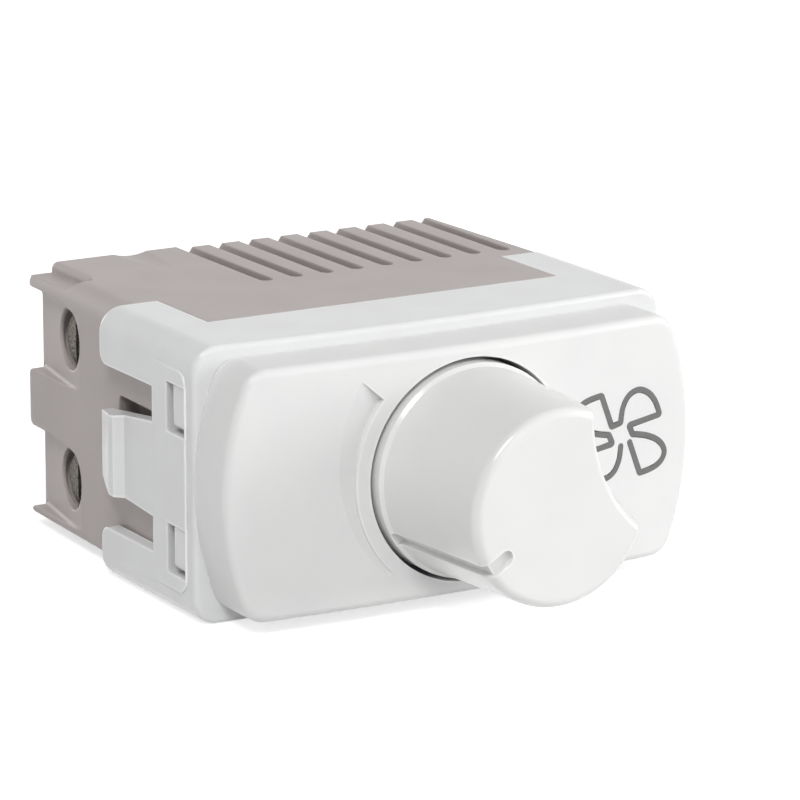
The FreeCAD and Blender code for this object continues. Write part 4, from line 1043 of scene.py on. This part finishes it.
@dataclass
class TerminalAssembly(Assembly):
    """One clamp terminal: its threaded screw, cage and contact bar. Sizes in millimetres."""

    place: str
    z: float
    y: float = 27.24
    head_x: float = -19.55
    head_end: float = -17.1
    shank_end: float = -12.8
    head_radius: float = 2.3
    head_round: float = 0.3
    head_crown: float = 0.06
    head_break: float = 0.1
    crest: float = 1.75
    root: float = 1.45
    pitch: float = 0.6
    slot_width: float = 0.6
    slot_depth: float = 0.4
    slot_clear: float = 1.0
    sides: int = 40
    rows_per_turn: int = 6

    HEIGHTS: ClassVar[dict[str, float]] = {"upper": 6.65, "lower": -5.75}
    BOX: ClassVar[list[tuple[int, ...]]] = [(0, 1, 3, 2), (4, 6, 7, 5), (0, 4, 5, 1), (2, 3, 7, 6), (0, 2, 6, 4),
                                            (1, 5, 7, 3)]

    def rings(self) -> list[tuple[float, float, bool]]:
        """List the screw's rings from head to tip.

        Returns:
            Place along X, radius and whether it is threaded, for each ring.
        """
        front, rim = self.head_x, self.head_radius
        head = [(front, rim - 2 * self.head_round, False), (front + self.head_crown, rim - self.head_round, False),
                (front + self.head_round, rim, False), (self.head_end - self.head_break, rim, False),
                (self.head_end, rim - self.head_break, False), (self.head_end, self.root, False)]
        count = round((self.shank_end - self.head_end) / self.pitch * self.rows_per_turn)
        step = (self.shank_end - self.head_end) / count
        thread = [(self.head_end + step * number, self.crest, True) for number in range(1, count)]
        return head + thread + [(self.shank_end, self.root, False)]

    def build(self) -> Object:
        """Make the slotted screw with its helical thread.

        Returns:
            The screw.
        """
        points: list[Point] = []
        rings = self.rings()
        for x, radius, threaded in rings:
            for side in range(self.sides):
                angle = 2 * math.pi * side / self.sides
                phase = ((x - self.head_end) / self.pitch - side / self.sides) % 1.0
                wave = 1 - abs(2 * phase - 1)
                reach = self.root + (radius - self.root) * wave if threaded else radius
                points.append((x * MM, (self.y + reach * math.cos(angle)) * MM,
                               (self.z + reach * math.sin(angle)) * MM))
        faces = [tuple(range(self.sides))[::-1], tuple(range((len(rings) - 1) * self.sides, len(points)))]
        for row in range(len(rings) - 1):
            for side in range(self.sides):
                after = (side + 1) % self.sides
                near, far = row * self.sides, (row + 1) * self.sides
                faces.append((near + side, near + after, far + after, far + side))
        return self.slotted(mesh_object("screw_blank", points, faces))

    def slotted(self, blank: Object) -> Object:
        """Cut the driver slot into a screw's head.

        Args:
            blank: The screw without its slot; it is removed.

        Returns:
            The slotted screw as a plain mesh.
        """
        half, reach = self.slot_width / 2, 2 * self.head_radius
        corners = [(x * MM, (self.y + across) * MM, (self.z + along) * MM)
                   for x in (self.head_x - self.slot_clear, self.head_x + self.slot_depth)
                   for across in (-half, half) for along in (-reach, reach)]
        cutter = mesh_object("slot", corners, self.BOX)
        cut = blank.modifiers.new("slot", "BOOLEAN")
        cut.object = cutter
        cut.solver = "EXACT"
        screw = plain_object(blank, "threaded_screw_" + self.place)
        bpy.data.objects.remove(cutter)
        Paint.SCREW.put_on(screw)
        return screw

    def finishes(self) -> dict[str, Paint]:
        """Return the finishes of the bar and the cage."""
        return {"contact_bar_" + self.place: Paint.CONTACT, "terminal_cage_" + self.place: Paint.PLATED}

    def dress(self) -> list[str]:
        """Dress the bar and the cage, and put the threaded screw in place of the plain one.

        Returns:
            The names of the dressed pieces.
        """
        names = super().dress()
        screw = self.build()
        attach(screw, "screw_" + self.place)
        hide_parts("terminal_screw_" + self.place)
        return names + [screw.name]


@dataclass(frozen=True)
class Lamp:
    """One soft studio lamp. Lengths in metres, power in watts."""

    name: str
    place: Point
    size: float
    power: float

    def build(self, aim: Vector) -> None:
        """Hang the lamp.

        Args:
            aim: Point that the lamp looks at.
        """
        light = bpy.data.lights.new(self.name, "AREA")
        light.shape = "DISK"
        light.size = self.size
        light.energy = self.power
        lamp = linked(bpy.data.objects.new(self.name, light))
        lamp.location = self.place
        lamp.rotation_mode = "QUATERNION"
        lamp.rotation_quaternion = (aim - Vector(self.place)).to_track_quat("-Z", "Y")


@dataclass
class Studio:
    """White floor, soft lamps and the camera. Lengths in metres."""

    floor_z: float = -0.0117
    floor_half: float = 3.0
    floor_shade: Colour = (0.8, 0.8, 0.8, 1.0)
    floor_rough: float = 0.9
    floor_glow: float = 0.62
    ambient: float = 0.27
    aim: Point = (0.0, 0.0, 0.0)
    camera_place: Point = (-0.18367, -0.29854, 0.09497)
    camera_right: Point = (0.85694, -0.51541, 0.00372)
    camera_up: Point = (0.12545, 0.21556, 0.96840)
    camera_back: Point = (-0.49992, -0.82939, 0.24938)
    lens: float = 196.83
    sensor: float = 36.0
    nearest: float = 0.01
    farthest: float = 100.0

    LAMPS: ClassVar[tuple[Lamp, ...]] = (
        Lamp("key", (0.9, -0.45, 0.5), 0.5, 3.3), Lamp("side", (0.8, -0.6, 0.1), 0.5, 3.8),
        Lamp("front", (0.0, -1.0, 0.4), 0.5, 1.1), Lamp("left", (-0.45, -0.5, 0.75), 0.35, 4.3),
        Lamp("strip", (-0.85, -0.4, 0.15), 0.2, 0.2), Lamp("rear", (-0.05, 1.0, 0.06), 0.35, 2.6))

    def seen_white(self, wiring: Wiring) -> NodeSocket:
        """Mask the rays from the camera, reflections and clear bodies.

        Args:
            wiring: Wiring of the world's or the floor's tree.

        Returns:
            The mask, which is 1 for those rays.
        """
        path = wiring.add("ShaderNodeLightPath")
        shown = wiring.math("MAXIMUM", path.outputs["Is Camera Ray"], path.outputs["Is Glossy Ray"])
        return wiring.math("MAXIMUM", shown, path.outputs["Is Transmission Ray"])

    def world(self) -> None:
        """Light the room evenly and show it as white."""
        world = bpy.data.worlds.new("studio")
        world.use_nodes = True
        wiring = Wiring(world.node_tree)
        ground = world.node_tree.nodes["Background"]
        lift = wiring.math("MULTIPLY", self.seen_white(wiring), 1.0 - self.ambient)
        wiring.feed(ground.inputs["Strength"], wiring.math("ADD", lift, self.ambient))
        ground.inputs["Color"].default_value = WHITE
        bpy.context.scene.world = world

    def floor(self) -> None:
        """Lay the pale floor that keeps the control's shadow."""
        half = self.floor_half
        corners = ((-half, -half), (half, -half), (half, half), (-half, half))
        floor = mesh_object("floor", [(x, y, self.floor_z) for x, y in corners], [(0, 1, 2, 3)])
        material = bpy.data.materials.new("floor_white")
        material.use_nodes = True
        wiring = Wiring(material.node_tree)
        shader = material.node_tree.nodes["Principled BSDF"]
        shader.inputs["Base Color"].default_value = self.floor_shade
        shader.inputs["Roughness"].default_value = self.floor_rough
        shader.inputs["Specular IOR Level"].default_value = 0.0
        shader.inputs["Emission Color"].default_value = WHITE
        glow = wiring.math("MULTIPLY", self.seen_white(wiring), self.floor_glow)
        wiring.feed(shader.inputs["Emission Strength"], glow)
        floor.data.materials.append(material)

    def camera(self) -> None:
        """Stand the camera where the picture was taken."""
        data = bpy.data.cameras.new("camera")
        data.sensor_width = self.sensor
        data.lens = self.lens
        data.clip_start = self.nearest
        data.clip_end = self.farthest
        camera = linked(bpy.data.objects.new("camera", data))
        turn = Matrix((self.camera_right, self.camera_up, self.camera_back)).transposed()
        camera.matrix_world = Matrix.Translation(self.camera_place) @ turn.to_4x4()
        bpy.context.scene.camera = camera

    def build(self) -> None:
        """Set up the whole studio."""
        bpy.context.scene.view_settings.view_transform = "Standard"
        self.world()
        self.floor()
        for lamp in self.LAMPS:
            lamp.build(Vector(self.aim))
        self.camera()


def main() -> None:
    """Dress every sub-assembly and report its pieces."""
    logging.basicConfig(level=logging.INFO, format="%(message)s")
    terminals = [TerminalAssembly(place, height) for place, height in TerminalAssembly.HEIGHTS.items()]
    for assembly in (CoverAssembly(), CaseAssembly(), ControlAssembly(), CircuitAssembly(), ChokeAssembly(),
                     *terminals):
        for piece in assembly.dress():
            LOG.info("%s: %s", type(assembly).__name__, piece)
    Studio().build()


if __name__ == "__main__":
    main()
